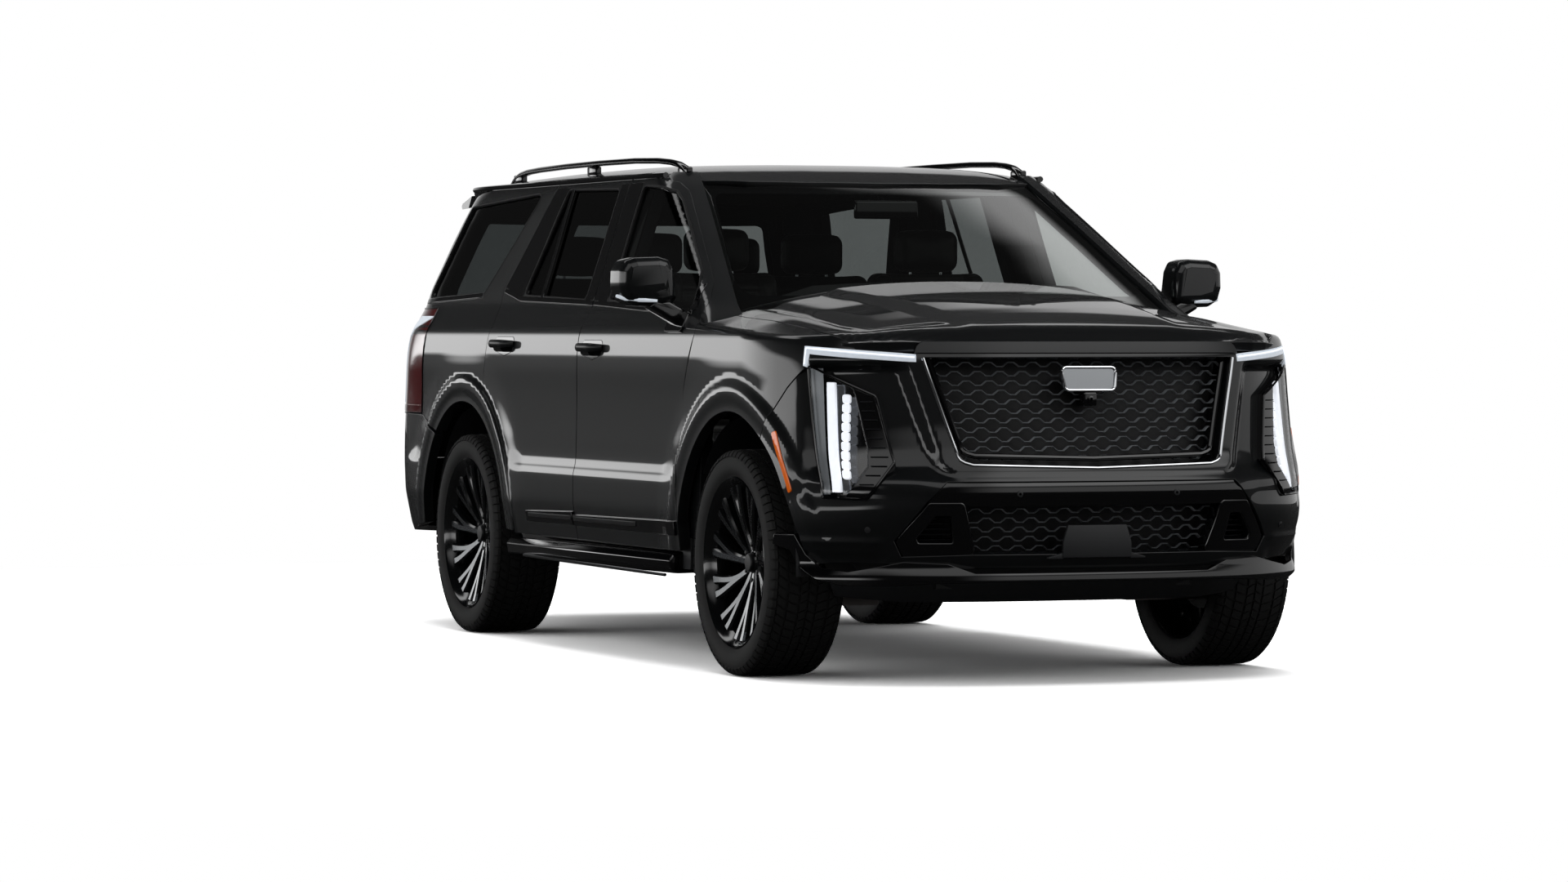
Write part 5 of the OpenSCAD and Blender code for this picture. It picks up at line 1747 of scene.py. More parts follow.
    def mirrors(self, m):
        """The door mirrors: shell, glass, arm, foot and lamp."""
        bm = bmesh.new()
        shell = [(1.000, 1.352), (1.012, 1.455), (1.030, 1.492), (1.070, 1.503), (1.160, 1.499),
                 (1.196, 1.486), (1.214, 1.452), (1.216, 1.395), (1.200, 1.345), (1.160, 1.322),
                 (1.060, 1.318), (1.020, 1.328)]
        made = add_prism(bm, rounded(shell, 0.02, 2), -1.168, -1.045, "y", bevel=0.0)
        front = [v for v in made if v.co.y < -1.16]
        edges = list({e for v in front for e in v.link_edges if all(w in front for w in e.verts)})
        bmesh.ops.bevel(bm, geom=edges, offset=0.034, segments=5, affect="EDGES", profile=0.5,
                        material=-1)
        for v in bm.verts:
            # swept back towards the outer end
            v.co.y += 0.16 * max(0, v.co.x - 1.02) ** 1.3
        both_hands("mirror_shell", bm, m["paint"], "front_{}_door", "black_paint",
                   ["{}_mirror"])
        bm = bmesh.new()
        glass = rounded([(1.012, 1.345), (1.022, 1.480), (1.190, 1.478), (1.198, 1.345)], 0.03, 5)
        add_prism(bm, glass, -1.0435, -1.0415, "y")
        for v in bm.verts:
            v.co.y += 0.16 * max(0, v.co.x - 1.02) ** 1.3
        both_hands("mirror_glass", bm, m["reflector"], "front_{}_door", "window_glass")
        bm = bmesh.new()
        arm = [(0.930, 1.232), (0.985, 1.246), (1.110, 1.318), (1.085, 1.345), (1.030, 1.340),
               (0.955, 1.300), (0.928, 1.292)]
        add_prism(bm, arm, -1.158, -1.072, "y", bevel=0.012, segments=3)
        both_hands("mirror_arm", bm, m["gloss"], "front_{}_door")
        foot = panel(dense(rounded([(-1.215, 1.228), (-1.04, 1.228), (-1.02, 1.290),
                                    (-1.205, 1.296)], 0.015), 0.03), side, 0.03, depth=0.012,
                     lift=0.009)
        both_hands("mirror_foot", foot, m["gloss"], "front_{}_door")
        bm = bmesh.new()
        lamp = [(1.085, -1.172, 1.340), (1.150, -1.150, 1.344), (1.195, -1.125, 1.350),
                (1.214, -1.090, 1.358)]
        add_tube(bm, lamp, [0.005, 0.008, 0.009, 0.006], sides=8)
        both_hands("mirror_lamp", bm, m["led_dim"], "front_{}_door", "lamp_clear")

    def boards(self, m):
        """The running boards and the sills behind them."""
        bm = bmesh.new()
        section = [(0.86, 0.424), (0.985, 0.4235), (1.022, 0.412), (1.040, 0.388),
                   (1.034, 0.350), (1.010, 0.330), (0.86, 0.334)]
        add_prism(bm, section, -1.128, 0.712, "y", bevel=0.006)
        for v in bm.verts:
            if v.co.y < -1.05:
                v.co.x -= 0.015
                v.co.z = 0.40 + (v.co.z - 0.40) * 0.85
        both = mirrored(bm)
        place("running_boards_cover", both, m["gloss"], "body", "moulded_trim",
              ["running_boards"])
        bm = bmesh.new()
        path = [(1.036, -1.118, 0.337), (1.040, -0.9, 0.3385), (1.040, 0.30, 0.346),
                (1.030, 0.52, 0.347)]
        add_tube(bm, path, 0.0062, sides=8)
        place("running_board_lines", mirrored(bm), m["chrome"])
        bm = bmesh.new()
        for k in range(4):
            add_box(bm, (0.905 + k * 0.022, -1.06, 0.423), (0.917 + k * 0.022, 0.66, 0.4262))
        place("running_board_treads", mirrored(bm), m["rubber"])
        # sill between the body and the board
        sill = panel(dense([(-1.20, 0.36), (0.74, 0.36), (0.70, 0.47), (-1.21, 0.47)], 0.06),
                     lambda y, z: side_in(0.045)(y, np.maximum(z, 0.45)) * np.array([1, 1, 0])
                     + np.stack([0 * z, 0 * z, z], -1), 0.06, depth=0.03)
        place("sills", mirrored(sill), m["plastic"])

    def rails(self, m):
        """The roof rails, and the ditches beside the roof."""
        bm = bmesh.new()
        y = np.array([-0.470, -0.445, -0.405, -0.350, -0.27, -0.15, 0.1, 0.5, 0.9, 1.25, 1.42,
                      1.52, 1.585, 1.625, 1.650])
        rise = np.array([-0.006, 0.010, 0.025, 0.034, 0.038, 0.040, 0.041, 0.041, 0.041, 0.040,
                         0.037, 0.031, 0.020, 0.006, -0.006])
        x = np.interp(y, [-0.47, -0.1, 0.6, 1.2, 1.65], [0.688, 0.708, 0.716, 0.712, 0.690])
        z = roof_top(x, y)[:, 2] + rise
        add_tube(bm, list(zip(x, y, z)), 0.019, sides=12, flat=0.62)
        for at in (-0.40, 0.58, 1.56):
            px = float(np.interp(at, y, x))
            pz = float(roof_top(np.array(px), np.array(at))[2])
            add_box(bm, (px - 0.014, at - 0.05, pz - 0.012), (px + 0.014, at + 0.05, pz + 0.030),
                    0.006)
        place("roof_rails_cover", mirrored(bm), m["gloss"], "body", "rail_black", ["roof_rails"])
        # ditch between the roof and the side
        bm = bmesh.new()
        y = np.linspace(-0.42, 2.0, 26)
        side_x = side(y, np.full(26, 1.812))[:, 0]
        add_tube(bm, list(zip((side_x + 0.778) / 2, y, np.full(26, 1.822))), 0.012, sides=8)
        place("roof_ditches", mirrored(bm), m["gloss"])

    def liners(self, m):
        """The liners of the wheel arches."""
        parts = []
        for axle in (FRONT_AXLE, REAR_AXLE):
            def liner(a, x, axle=axle):
                """A round housing, from the angle round the axle and x."""
                r = 0.515 + 0.02 * (1 - x / 0.98)
                return np.stack([x, axle + r * np.cos(a), HUB_HEIGHT + r * np.sin(a)], -1)
            loop = [(-0.05, 0.56), (3.20, 0.56), (3.20, 0.965), (-0.05, 0.965)]
            parts.append(panel(dense(loop, 0.08), liner, 0.09, depth=0, facing=-1))
            bm = bmesh.new()
            rim = [(axle + 0.533 * math.cos(a), HUB_HEIGHT + 0.533 * math.sin(a))
                   for a in np.linspace(-0.05, 3.2, 40)]
            verts = [bm.verts.new((0.56, p[0], p[1])) for p in rim]
            bm.faces.new(verts)
            parts.append(bm)
        place("wheel_arch_liners", mirrored(joined(*parts)), m["plastic"], "body",
              "moulded_trim")


# ---------------------------------------------------------------- wheels
RIM_PROFILE = [
    (0.296, -0.128), (0.3075, -0.126), (0.3085, -0.116), (0.290, -0.104), (0.277, -0.060),
    (0.273, 0.060), (0.287, 0.102), (0.300, 0.109), (0.3085, 0.118), (0.3095, 0.130),
    (0.3030, 0.1335), (0.2950, 0.1270), (0.2870, 0.1120), (0.2700, 0.094), (0.2640, 0.060),
    (0.2660, -0.060), (0.2810, -0.110),
]
TYRE_PROFILE = [
    (0.300, 0.112), (0.3085, 0.131), (0.3200, 0.1385), (0.3400, 0.1425), (0.3600, 0.1420),
    (0.3750, 0.1400), (0.3860, 0.1350), (0.3930, 0.1270), (0.3960, 0.1180), (0.3972, 0.0900),
    (0.3980, 0.0000), (0.3972, -0.0900), (0.3960, -0.1180), (0.3930, -0.1270), (0.3860, -0.1350),
    (0.3750, -0.1400), (0.3600, -0.1420), (0.3400, -0.1425), (0.3200, -0.1385),
    (0.3085, -0.131), (0.300, -0.112),
]


def loft(bm, rings, close_ends=True):
    """Faces between rings of points."""
    rows = [[bm.verts.new(p) for p in ring] for ring in rings]
    n = len(rows[0])
    faces = [bm.faces.new((a[k], a[(k + 1) % n], b[(k + 1) % n], b[k]))
             for a, b in zip(rows, rows[1:]) for k in range(n)]
    if close_ends:
        faces += [bm.faces.new(rows[0][::-1]), bm.faces.new(rows[-1])]
    bmesh.ops.recalc_face_normals(bm, faces=faces)
    return faces


def wheel_point(r, angle, h):
    """A point of the left wheel, round its own centre, the outside of the car towards +X."""
    return (h, r * math.cos(angle), r * math.sin(angle))


def turned(bm, profile, steps, at=(0, 0, 0)):
    """An outline of (radius, distance outwards) spun round a wheel's own axis."""
    add_lathe(bm, profile, at, (1, 0, 0), steps, ref=(0, 1, 0))


def spoke(bm, angle, lean, spread):
    """One blade of a spoke, leaning away from its neighbour towards the rim."""
    rings = []
    for t in np.linspace(0, 1, 9):
        r = 0.034 + (0.279 - 0.034) * t
        a = angle + spread * smoothstep(0.10, 1.0, t) + lean * t
        w = np.interp(t, [0, 0.15, 0.5, 0.85, 1], [0.014, 0.0145, 0.0135, 0.0150, 0.019])
        face = 0.058 + 0.050 * t ** 1.4 + 0.006 * math.sin(math.pi * t)
        deep = np.interp(t, [0, 0.4, 1], [0.050, 0.036, 0.030])
        ring = []
        for across, down in ((-1.25, deep), (-1.1, 0.007), (-0.62, 0.0), (0.62, 0.0),
                             (1.1, 0.007), (1.25, deep)):
            ring.append(wheel_point(r, a + across * w / max(r, 0.06), face - down))
        rings.append(ring)
    return loft(bm, rings)


def make_wheel(spokes):
    """The left wheel: black rim and spokes, the spokes' faces machined."""
    bm = bmesh.new()
    turned(bm, RIM_PROFILE, 72)
    faces = []
    for k in range(spokes):
        a = 2 * math.pi * k / spokes
        faces += spoke(bm, a, 0.20, 0.115)
        faces += spoke(bm, a + 0.02, 0.20, -0.115)
    for f in faces:
        f.normal_update()
        f.material_index = 1 if f.normal.x > 0.75 else 0
    bolt_ring = [(0.0, 0.0), (0.088, 0.0), (0.090, 0.040), (0.082, 0.052), (0.040, 0.058),
                 (0.036, 0.064), (0.0, 0.066)]
    turned(bm, bolt_ring, 36)
    return bm


def make_hub():
    """Cap, nuts and valve of the left wheel."""
    bm = bmesh.new()
    turned(bm, [(0.0, 0.060), (0.033, 0.060), (0.033, 0.074), (0.029, 0.0785), (0.0, 0.080)], 32)
    for k in range(6):
        a = 2 * math.pi * (k + 0.5) / 6
        turned(bm, [(0.0, 0.040), (0.0105, 0.040), (0.0105, 0.062), (0.007, 0.0665),
                    (0.0, 0.067)], 6, (0, 0.064 * math.cos(a), 0.064 * math.sin(a)))
    return bm


def make_tyre(depth, count):
    """The carcass with its tread blocks, grooves and the ribs of its shoulders."""
    bm = bmesh.new()
    turned(bm, TYRE_PROFILE, 96)
    outer = 0.4045
    # across the tread: from, to, skew
    ribs = [(-0.112, -0.082, 0.020), (-0.073, -0.036, 0.013), (-0.028, -0.004, -0.013),
            (0.004, 0.028, 0.013), (0.036, 0.073, -0.013), (0.082, 0.112, -0.020)]
    pitch = 2 * math.pi / count
    base = outer - depth
    for number, (low, high, skew) in enumerate(ribs):
        for k in range(count):
            a0 = (k + (number % 2) * 0.5) * pitch
            a1 = a0 + pitch * 0.80
            turn = skew / 0.4
            crown = 0.0016 * (max(abs(low), abs(high)) / 0.112) ** 2
            corners = []
            for r in (base, outer - crown):
                corners += [wheel_point(r, a0, low), wheel_point(r, a1, low),
                            wheel_point(r, a1 + turn, high), wheel_point(r, a0 + turn, high)]
            v = [bm.verts.new(c) for c in corners]
            for quad in ((4, 5, 6, 7), (0, 1, 5, 4), (1, 2, 6, 5), (2, 3, 7, 6), (3, 0, 4, 7)):
                bm.faces.new([v[i] for i in quad])
    # shoulder blocks, running over on to the sidewall
    for way in (-1, 1):
        for k in range(count):
            a0 = k * pitch + (0.4 * pitch if way > 0 else 0)
            a1 = a0 + pitch * 0.76
            rows = [(r, h * way) for r, h in ((0.4025, 0.118), (0.4000, 0.129),
                                              (0.3930, 0.1365), (0.3800, 0.1425))]
            ring = []
            for a in (a0, a1):
                ring.append([wheel_point(r, a, h) for r, h in rows]
                            + [wheel_point(r - 0.006, a, h - 0.006 * way)
                               for r, h in rows[::-1]])
            loft(bm, ring)
    bmesh.ops.recalc_face_normals(bm, faces=bm.faces)
    return bm


def around(radius, start, end, count):
    """Points of an arc round a wheel's axis, its angles in radians."""
    return [(radius * math.cos(a), radius * math.sin(a)) for a in np.linspace(start, end, count)]


def moved(bm, at, flipped):
    """A left-hand wheel part at its place, turned over for the right-hand side."""
    if flipped:
        bm = mirrored(bm, keep=False)
    bmesh.ops.translate(bm, vec=at, verts=bm.verts)
    return bm


class SUV_OT_wheels(bpy.types.Operator):
    """Make the wheels, the tyres and the brakes"""
    bl_idname = "suv.wheels"
    bl_label = "Wheels"

    def execute(self, context):
        m = MATERIALS
        sizes = context.scene.suv_wheels
        wheel, hub = make_wheel(sizes.spokes), make_hub()
        tyre = make_tyre(sizes.tread_depth, sizes.blocks)
        for end, y in (("front", FRONT_AXLE), ("rear", REAR_AXLE)):
            for hand, sign in (("left", 1), ("right", -1)):
                body = f"{end}_{hand}_wheel"
                at = (WHEEL_X * sign, y, HUB_HEIGHT)
                place(body + "_rim", moved(wheel.copy(), at, sign < 0),
                      [m["wheel_black"], m["wheel_grey"]], body, "alloy", [body], smooth=32)
                place(body + "_cap", moved(hub.copy(), at, sign < 0), m["satin"], body, "alloy")
                place(body + "_tread", moved(tyre.copy(), at, sign < 0), m["tyre"], body,
                      "tyre_rubber", [f"{end}_{hand}_tyre"], smooth=28)
                disc_mesh = bmesh.new()
                for h in (-0.036, -0.018):
                    turned(disc_mesh, [(0.070, h), (0.195, h), (0.195, h + 0.009),
                                       (0.070, h + 0.009)], 48)
                for k in range(30):
                    a = 2 * math.pi * k / 30
                    ring = [[wheel_point(r, a + s / r, h) for s, h in
                             ((-0.003, -0.03), (0.003, -0.03), (0.003, -0.016),
                              (-0.003, -0.016))] for r in (0.09, 0.193)]
                    loft(disc_mesh, ring)
                turned(disc_mesh, [(0.0, -0.045), (0.072, -0.045), (0.075, 0.0), (0.0, 0.0)],
                       32)
                place(body + "_disc", moved(disc_mesh, at, sign < 0), m["steel"], body,
                      "cast_metal")
                calliper = bmesh.new()
                start = 2.55 if end == "front" else 0.15
                outer, inner = (around(r, start, start + 0.72, 9) for r in (0.214, 0.128))
                add_prism(calliper, outer + inner[::-1], -0.004, 0.030, "x", bevel=0.007)
                add_prism(calliper, outer + inner[::-1], -0.075, -0.041, "x", bevel=0.007)
                top, bridge = (around(r, start + 0.1, start + 0.62, 7)
                               for r in (0.2225, 0.201))
                add_prism(calliper, top + bridge[::-1], -0.07, 0.022, "x", bevel=0.005)
                owner = f"{hand}_knuckle" if end == "front" else "body"
                place(f"{end}_{hand}_calliper", moved(calliper, at, sign < 0), m["caliper"],
                      owner, "cast_metal")
        for bm in (wheel, hub, tyre):
            bm.free()
        return {"FINISHED"}


# ---------------------------------------------------------------- the back
GATE = [(0.800, 0.690), (0.852, 0.900), (0.852, 1.335), (0.690, 1.772)]
REAR_GLASS = [(0.775, 1.350), (0.648, 1.712)]
TAIL_LAMP = [(0.868, 0.888), (1.090, 0.888), (1.115, 1.000), (1.105, 1.325), (0.868, 1.325)]


def tail_outline(points, step=0.04):
    """An outline in (x, height) as distances round the tail."""
    return [(tail_s(x, z), z) for x, z in dense(points, step)]


def tail_skin(s, z):
    """The tailgate: a crease under the window and a hollow for the plate."""
    p = tail(s, z)
    a = np.abs(s)
    crease = 0.010 * bump(z, 1.285, 0.030) * (1 - smoothstep(0.78, 0.86, a))
    hollow = smoothstep(0.335, 0.275, a) * smoothstep(0.775, 0.815, z)
    hollow = hollow * (1 - smoothstep(0.985, 1.025, z))
    p[..., 1] += crease - 0.024 * hollow
    return p


def rear_bumper_skin(s, z):
    """The rear bumper: a step under the tailgate, and a chin that turns under."""
    p = rear_wrap(s, z)
    a = np.abs(s)
    step = 0.014 * bump(z, 0.735, 0.022) * (1 - smoothstep(1.0, 1.2, a))
    chin = 0.010 * smoothstep(0.52, 0.47, z)
    p[..., 1] += step - chin * (1 - smoothstep(0.9, 1.1, a))
    return p


def rear_step(surface, amount):
    """A surface of the tail moved into the car."""
    def back(s, z):
        p = surface(s, z)
        p[..., 1] -= amount
        p[..., 0] *= 1 - abs(amount) * 0.45
        return p
    return back


class SUV_OT_rear(bpy.types.Operator):
    """Make the tailgate, the rear lamps and the rear bumper"""
    bl_idname = "suv.rear"
    bl_label = "Rear"

    def execute(self, context):
        m = MATERIALS
        step = context.scene.suv_body.panel_step
        gate = tail_outline(rounded(both(GATE), 0.03))
        glass = tail_outline(rounded(both(REAR_GLASS), 0.04))
        skin = panel(gate, tail_skin, step * 0.7, holes=[glass], depth=0.04, facing=-1)
        place("tailgate_skin", skin, m["paint"], "tailgate", "black_paint", ["tailgate"])
        lining = panel(tail_outline(grown(both(GATE), -0.035), 0.06), rear_step(tail, 0.085), 0.05,
                       holes=[tail_outline(grown(rounded(both(REAR_GLASS), 0.04), 0.004), 0.06)],
                       depth=0.04, facing=1, lip=LINING_LIP)
        place("tailgate_lining", lining, m["vinyl"], "tailgate", "cabin_trim")
        pane = panel(tail_outline(grown(rounded(both(REAR_GLASS), 0.04), 0.012)),
                     rear_step(tail, 0.010), 0.06, depth=0.004, lip=[], facing=-1)
        place("tailgate_pane", pane, m["tinted"], "tailgate", "window_glass",
              ["tailgate_glass"])
        bm = bmesh.new()
        surface_tube(bm, glass, rear_step(tail, 0.002), 0.006, closed=True, sides=6)
        place("tailgate_seal", bm, m["rubber"], "tailgate")
        # bright bar across the tailgate over the plate
        bar = panel(tail_outline([(-0.62, 1.052), (0.62, 1.052), (0.62, 1.078), (-0.62, 1.078)]),
                    tail, 0.03, depth=0.012, facing=-1, lift=0.009)
        place("tailgate_bar", bar, m["satin"], "tailgate")
        plate = panel(tail_outline(rounded(both([(0.156, 0.842), (0.156, 0.962)]), 0.010)),
                      rear_step(tail, 0.022), 0.04, depth=0.004, facing=-1, lift=0.004)
        place("tailgate_plate", plate, m["brushed"], "tailgate")
        bm = bmesh.new()
        y = float(tail(np.array(0.0), np.array(1.02))[1])
        add_box(bm, (-0.15, y - 0.022, 1.020), (0.15, y + 0.004, 1.044), 0.006)
        for x in (-0.10, 0.10):
            add_box(bm, (x - 0.022, y - 0.016, 1.014), (x + 0.022, y + 0.001, 1.022), 0.002)
        place("tailgate_handle", bm, m["gloss"], "tailgate")
        # spoiler over the window
        bm = bmesh.new()
        rings = []
        for x in np.linspace(-0.70, 0.70, 25):
            edge = 0.030 * (abs(x) / 0.70) ** 2.4
            y = 2.352 - 0.6 * edge
            z = float(roof_top(np.array(x), np.array(2.22))[2]) + 0.002
            rings.append([(x, 2.225 - edge, z), (x, y - 0.012, z - 0.018 - edge * 0.4),
                          (x, y, z - 0.030 - edge * 0.4), (x, y - 0.010, z - 0.042 - edge * 0.4),
                          (x, 2.270 - edge, z - 0.050)])
        loft(bm, rings)
        place("roof_spoiler", bm, m["paint"], "tailgate", "black_paint")
        bm = bmesh.new()
        add_box(bm, (-0.20, 2.338, 1.7845), (0.20, 2.3525, 1.7925), 0.003)
        place("high_stop_lamp", bm, m["red"], "tailgate", "lamp_red")
        # wiper
        bm = bmesh.new()
        pivot = tail(np.array(0.0), np.array(1.335))
        blade = [tuple(tail(np.array(tail_s(x, 1.372)), np.array(1.372)) + np.array([0, 0.010, 0]))
                 for x in np.linspace(0.02, 0.42, 8)]
        add_tube(bm, blade, 0.006, sides=6)
        arm = [tuple(pivot + np.array([0, 0.014, 0])), tuple(np.array(blade[2]) + [0, 0.012, 0]),
               tuple(np.array(blade[4]) + [0, 0.008, 0])]
        add_tube(bm, arm, [0.013, 0.008, 0.006], sides=8, flat=0.6)
        disc(bm, tuple(pivot + np.array([0, 0.006, 0])), (0, 1, 0.2), 0.024, 0.012)
        place("rear_wiper", bm, m["rubber"], "tailgate")
        # lamps
        red, clear, frames, bars = [], [], [], []
        for way in (1, -1):
            turn = partial(handed, way=way)
            lamp = [(tail_s(x, z), z) for x, z in dense(TAIL_LAMP, 0.04)]
            red.append(panel(turn(lamp), tail, 0.03, depth=0.03, facing=-1, lift=0.001))
            bm = bmesh.new()
            surface_tube(bm, turn(lamp), tail, 0.004, closed=True, sides=6)
            frames.append(bm)
            for x0, x1 in ((0.895, 0.915), (0.960, 0.985)):
                strip = [(tail_s(x, z), z) for x, z in
                         dense([(x0, 0.93), (x1, 0.93), (x1, 1.29), (x0, 1.29)], 0.05)]
                bars.append(panel(turn(strip), tail, 0.04, depth=0.003, facing=-1, lift=0.004))
            low = [(tail_s(x, z), z) for x, z in
                   dense([(0.885, 0.897), (1.055, 0.897), (1.055, 0.920), (0.885, 0.920)], 0.05)]
            clear.append(panel(turn(low), tail, 0.04, depth=0.003, facing=-1, lift=0.004))
        place("tail_lamp_lenses", joined(*red), m["red"], "body", "lamp_red", ["tail_lamps"])
        place("tail_lamp_bars", joined(*bars), m["led_dim"], "body", "lamp_red")
        place("tail_lamp_reverse", joined(*clear), m["lens"], "body", "lamp_clear")
        place("tail_lamp_beads", joined(*frames), m["gloss"])
        # corner between the lamp, the window and the quarter, and the frame round the gate
        posts = []
        for way in (1, -1):
            z = np.linspace(1.338, 1.80, 18)
            inner = np.interp(z, [1.335, 1.772, 1.82], [0.857, 0.695, 0.66])
            loop = [(tail_s(x, h), h) for x, h in zip(inner, z)]
            back = []
            for h in z[::-1]:
                start = float(tail_setback(h))
                seam = np.interp(h, [1.36, 1.50, 1.70, 1.774, 1.80], [2.258, 2.209, 2.124, 2.064,
                                                                     2.00])
                run = start - seam
                turn_at = math.acos(min(1, max(0, 1 - run / CABIN_CURVE_REAR))
                                    ** (PLAN_POWER / 2)) if run < CABIN_CURVE_REAR else math.pi / 2
                s = float(np.interp(turn_at, BODY_END[0], BODY_END[1]))
                back.append((s - 0.004 + max(0, run - CABIN_CURVE_REAR), h))
            posts.append(panel(handed(loop + back, way), tail, 0.03, depth=0.03, facing=-1))
        place("rear_posts", joined(*posts), m["paint"], "body", "black_paint")
        # bumper
        arch = arc((REAR_AXLE, HUB_HEIGHT), ARCH_RADIUS, 50.0, 3.0, 18)
        edge = [(side_s(y, z, 1), z) for y, z in arch]
        upper = [(0.0, 0.683), (tail_s(0.796, 0.683), 0.683), (tail_s(0.862, 0.882), 0.882),
                 (side_s(2.12, 0.884, 1), 0.884), (side_s(1.905, 0.878, 1), 0.878)]
        lower = [(side_s(2.02, 0.40, 1), 0.400), (1.0, 0.385), (0.75, 0.372), (0.0, 0.368)]
        loop = dense(both(upper[1:] + edge[1:] + lower), 0.035)
        cover = panel(loop, rear_bumper_skin, step * 0.7, depth=0.04, facing=-1,
                      holes=[dense(both([(0.70, 0.500), (0.62, 0.415)]), 0.04)])
        place("rear_bumper_cover", cover, m["paint"], "body", "black_paint", ["rear_bumper"])
        low = panel(dense(both([(0.712, 0.512), (0.630, 0.404)]), 0.04),
                    rear_step(rear_wrap, 0.030), 0.04, depth=0.04, facing=-1)
        place("rear_valance", low, m["plastic"])
        top = panel(dense(both([(0.78, 0.676), (0.70, 0.640)]), 0.04), rear_wrap, 0.04,
                    depth=0.01, facing=-1, lift=0.004)
        place("rear_step_pad", top, m["plastic"])
        reflectors = []
        for way in (1, -1):
            strip = [(s * way, z) for s, z in dense(rounded(
                [(0.80, 0.560), (0.93, 0.560), (0.93, 0.582), (0.80, 0.582)], 0.006), 0.04)]
            reflectors.append(panel(strip, rear_bumper_skin, 0.04, depth=0.004, facing=-1,
                                    lift=0.003))
        place("rear_reflectors", joined(*reflectors), m["red"], "body", "lamp_red")
        bm = bmesh.new()
        for x in (-0.62, -0.49, 0.49, 0.62):
            outline = [(0.046, -0.075), (0.046, 0.0), (0.041, 0.004), (0.037, 0.0),
                       (0.037, -0.075)]
            add_lathe(bm, outline, (x, 2.665, 0.425), (0, 1, 0), 32)
        place("exhaust_tips", bm, m["dark_chrome"], "body", "exhaust_steel")
        # painted shade: a matt black disc closes each tip a little way in, standing for the shaded
        # inside of the pipe beyond
        bm = bmesh.new()
        for x in (-0.62, -0.49, 0.49, 0.62):
            add_lathe(bm, [(0.0, -0.05), (0.037, -0.05), (0.037, -0.04), (0.0, -0.04)],
                      (x, 2.665, 0.425), (0, 1, 0), 24)
        place("exhaust_tip_shade_discs", bm, m["rubber"], "body", "exhaust_steel")
        bm = bmesh.new()
        for x in (-0.55, -0.2, 0.2, 0.55):
            p = rear_bumper_skin(np.array([x]), np.array([0.615]))[0]
            disc(bm, tuple(p), (0, 1, 0), 0.011, 0.003)
        place("rear_sensors", bm, m["plastic"])
        return {"FINISHED"}


# ---------------------------------------------------------------- the cabin
VOXEL = 0.012
SEAT_WIDTH = 0.56
STEERING_RADIUS = 0.174


def evaluated(piece):
    """The piece's mesh with its modifiers applied."""
    graph = bpy.context.evaluated_depsgraph_get()
    return bpy.data.meshes.new_from_object(piece.evaluated_get(graph))


def with_modifier(mesh, kind, settings):
    """A mesh put through one modifier."""
    holder = bpy.data.objects.new("holder", mesh)
    bpy.context.scene.collection.objects.link(holder)
    modifier = holder.modifiers.new("shape", kind)
    for name, value in settings.items():
        setattr(modifier, name, value)
    bpy.context.view_layer.update()
    made = evaluated(holder)
    bpy.data.objects.remove(holder)
    return made


def swell(mesh, cap):
    """Cloth blown up by a little air, as foam fills its cover, moved no further than a cap."""
    scene = bpy.context.scene
    holder = bpy.data.objects.new("holder", mesh)
    scene.collection.objects.link(holder)
    cloth = holder.modifiers.new("cover", "CLOTH")
    cloth.settings.quality = 5
    cloth.settings.use_pressure = True
    cloth.settings.uniform_pressure_force = 4.0
    cloth.settings.effector_weights.gravity = 0
    cloth.point_cache.frame_end = 20
    for frame in range(1, 21):
        scene.frame_set(frame)
    made = evaluated(holder)
    rest = np.array([v.co for v in mesh.vertices])
    full = np.array([v.co for v in made.vertices])
    move = full - rest
    far = np.linalg.norm(move, axis=1, keepdims=True)
    full = rest + move * np.minimum(1, cap / np.maximum(far, 1e-9))
    made.vertices.foreach_set("co", full.ravel())
    scene.frame_set(1)
    bpy.data.objects.remove(holder)
    return made


def upholster(size, rounding, bolster=0.0, channels=0, slim=0.0):
    """A padded form lying on its back with its seams on top: bolsters along its two sides,
    channels across between them, and slim, how far it narrows towards +Y."""
    bm = bmesh.new()
    add_box(bm, [-s / 2 + 0.006 for s in size], [s / 2 - 0.006 for s in size], rounding, 5)
    mesh = bpy.data.meshes.new("pad")
    bm.to_mesh(mesh)
    bm.free()
    mesh = with_modifier(mesh, "REMESH", {"mode": "VOXEL", "voxel_size": VOXEL})
    mesh = swell(mesh, 0.024)
    mesh = with_modifier(mesh, "SUBSURF", {"levels": 1, "render_levels": 1})
    co = np.array([v.co for v in mesh.vertices])
    # the cover stays inside the seat's own space
    for axis in range(3):
        half = np.abs(co[:, axis]).max()
        co[:, axis] *= (size[axis] / 2) / half
    top = smoothstep(0.0, size[2] * 0.35, co[:, 2])
    if bolster:
        edge = size[0] / 2 - bolster
        inner = 1 - smoothstep(edge - 0.02, edge + 0.03, np.abs(co[:, 0]))
        co[:, 2] -= 0.020 * inner * top
        co[:, 2] -= 0.008 * bump(np.abs(co[:, 0]), edge, 0.007) * top
        pitch = size[1] * 0.80 / max(channels, 1)
        for k in range(channels + 1):
            at = -size[1] * 0.40 + k * pitch
            co[:, 2] -= 0.006 * bump(co[:, 1], at, 0.008) * inner * top
    # sewn seam round the side
    rim = bump(co[:, 2], size[2] * 0.22, 0.005)
    co[:, :2] *= 1 - 0.010 * rim[:, None]
    co[:, 0] *= 1 - slim * smoothstep(0.0, size[1] / 2, co[:, 1])
    mesh.vertices.foreach_set("co", co.ravel())
    return mesh


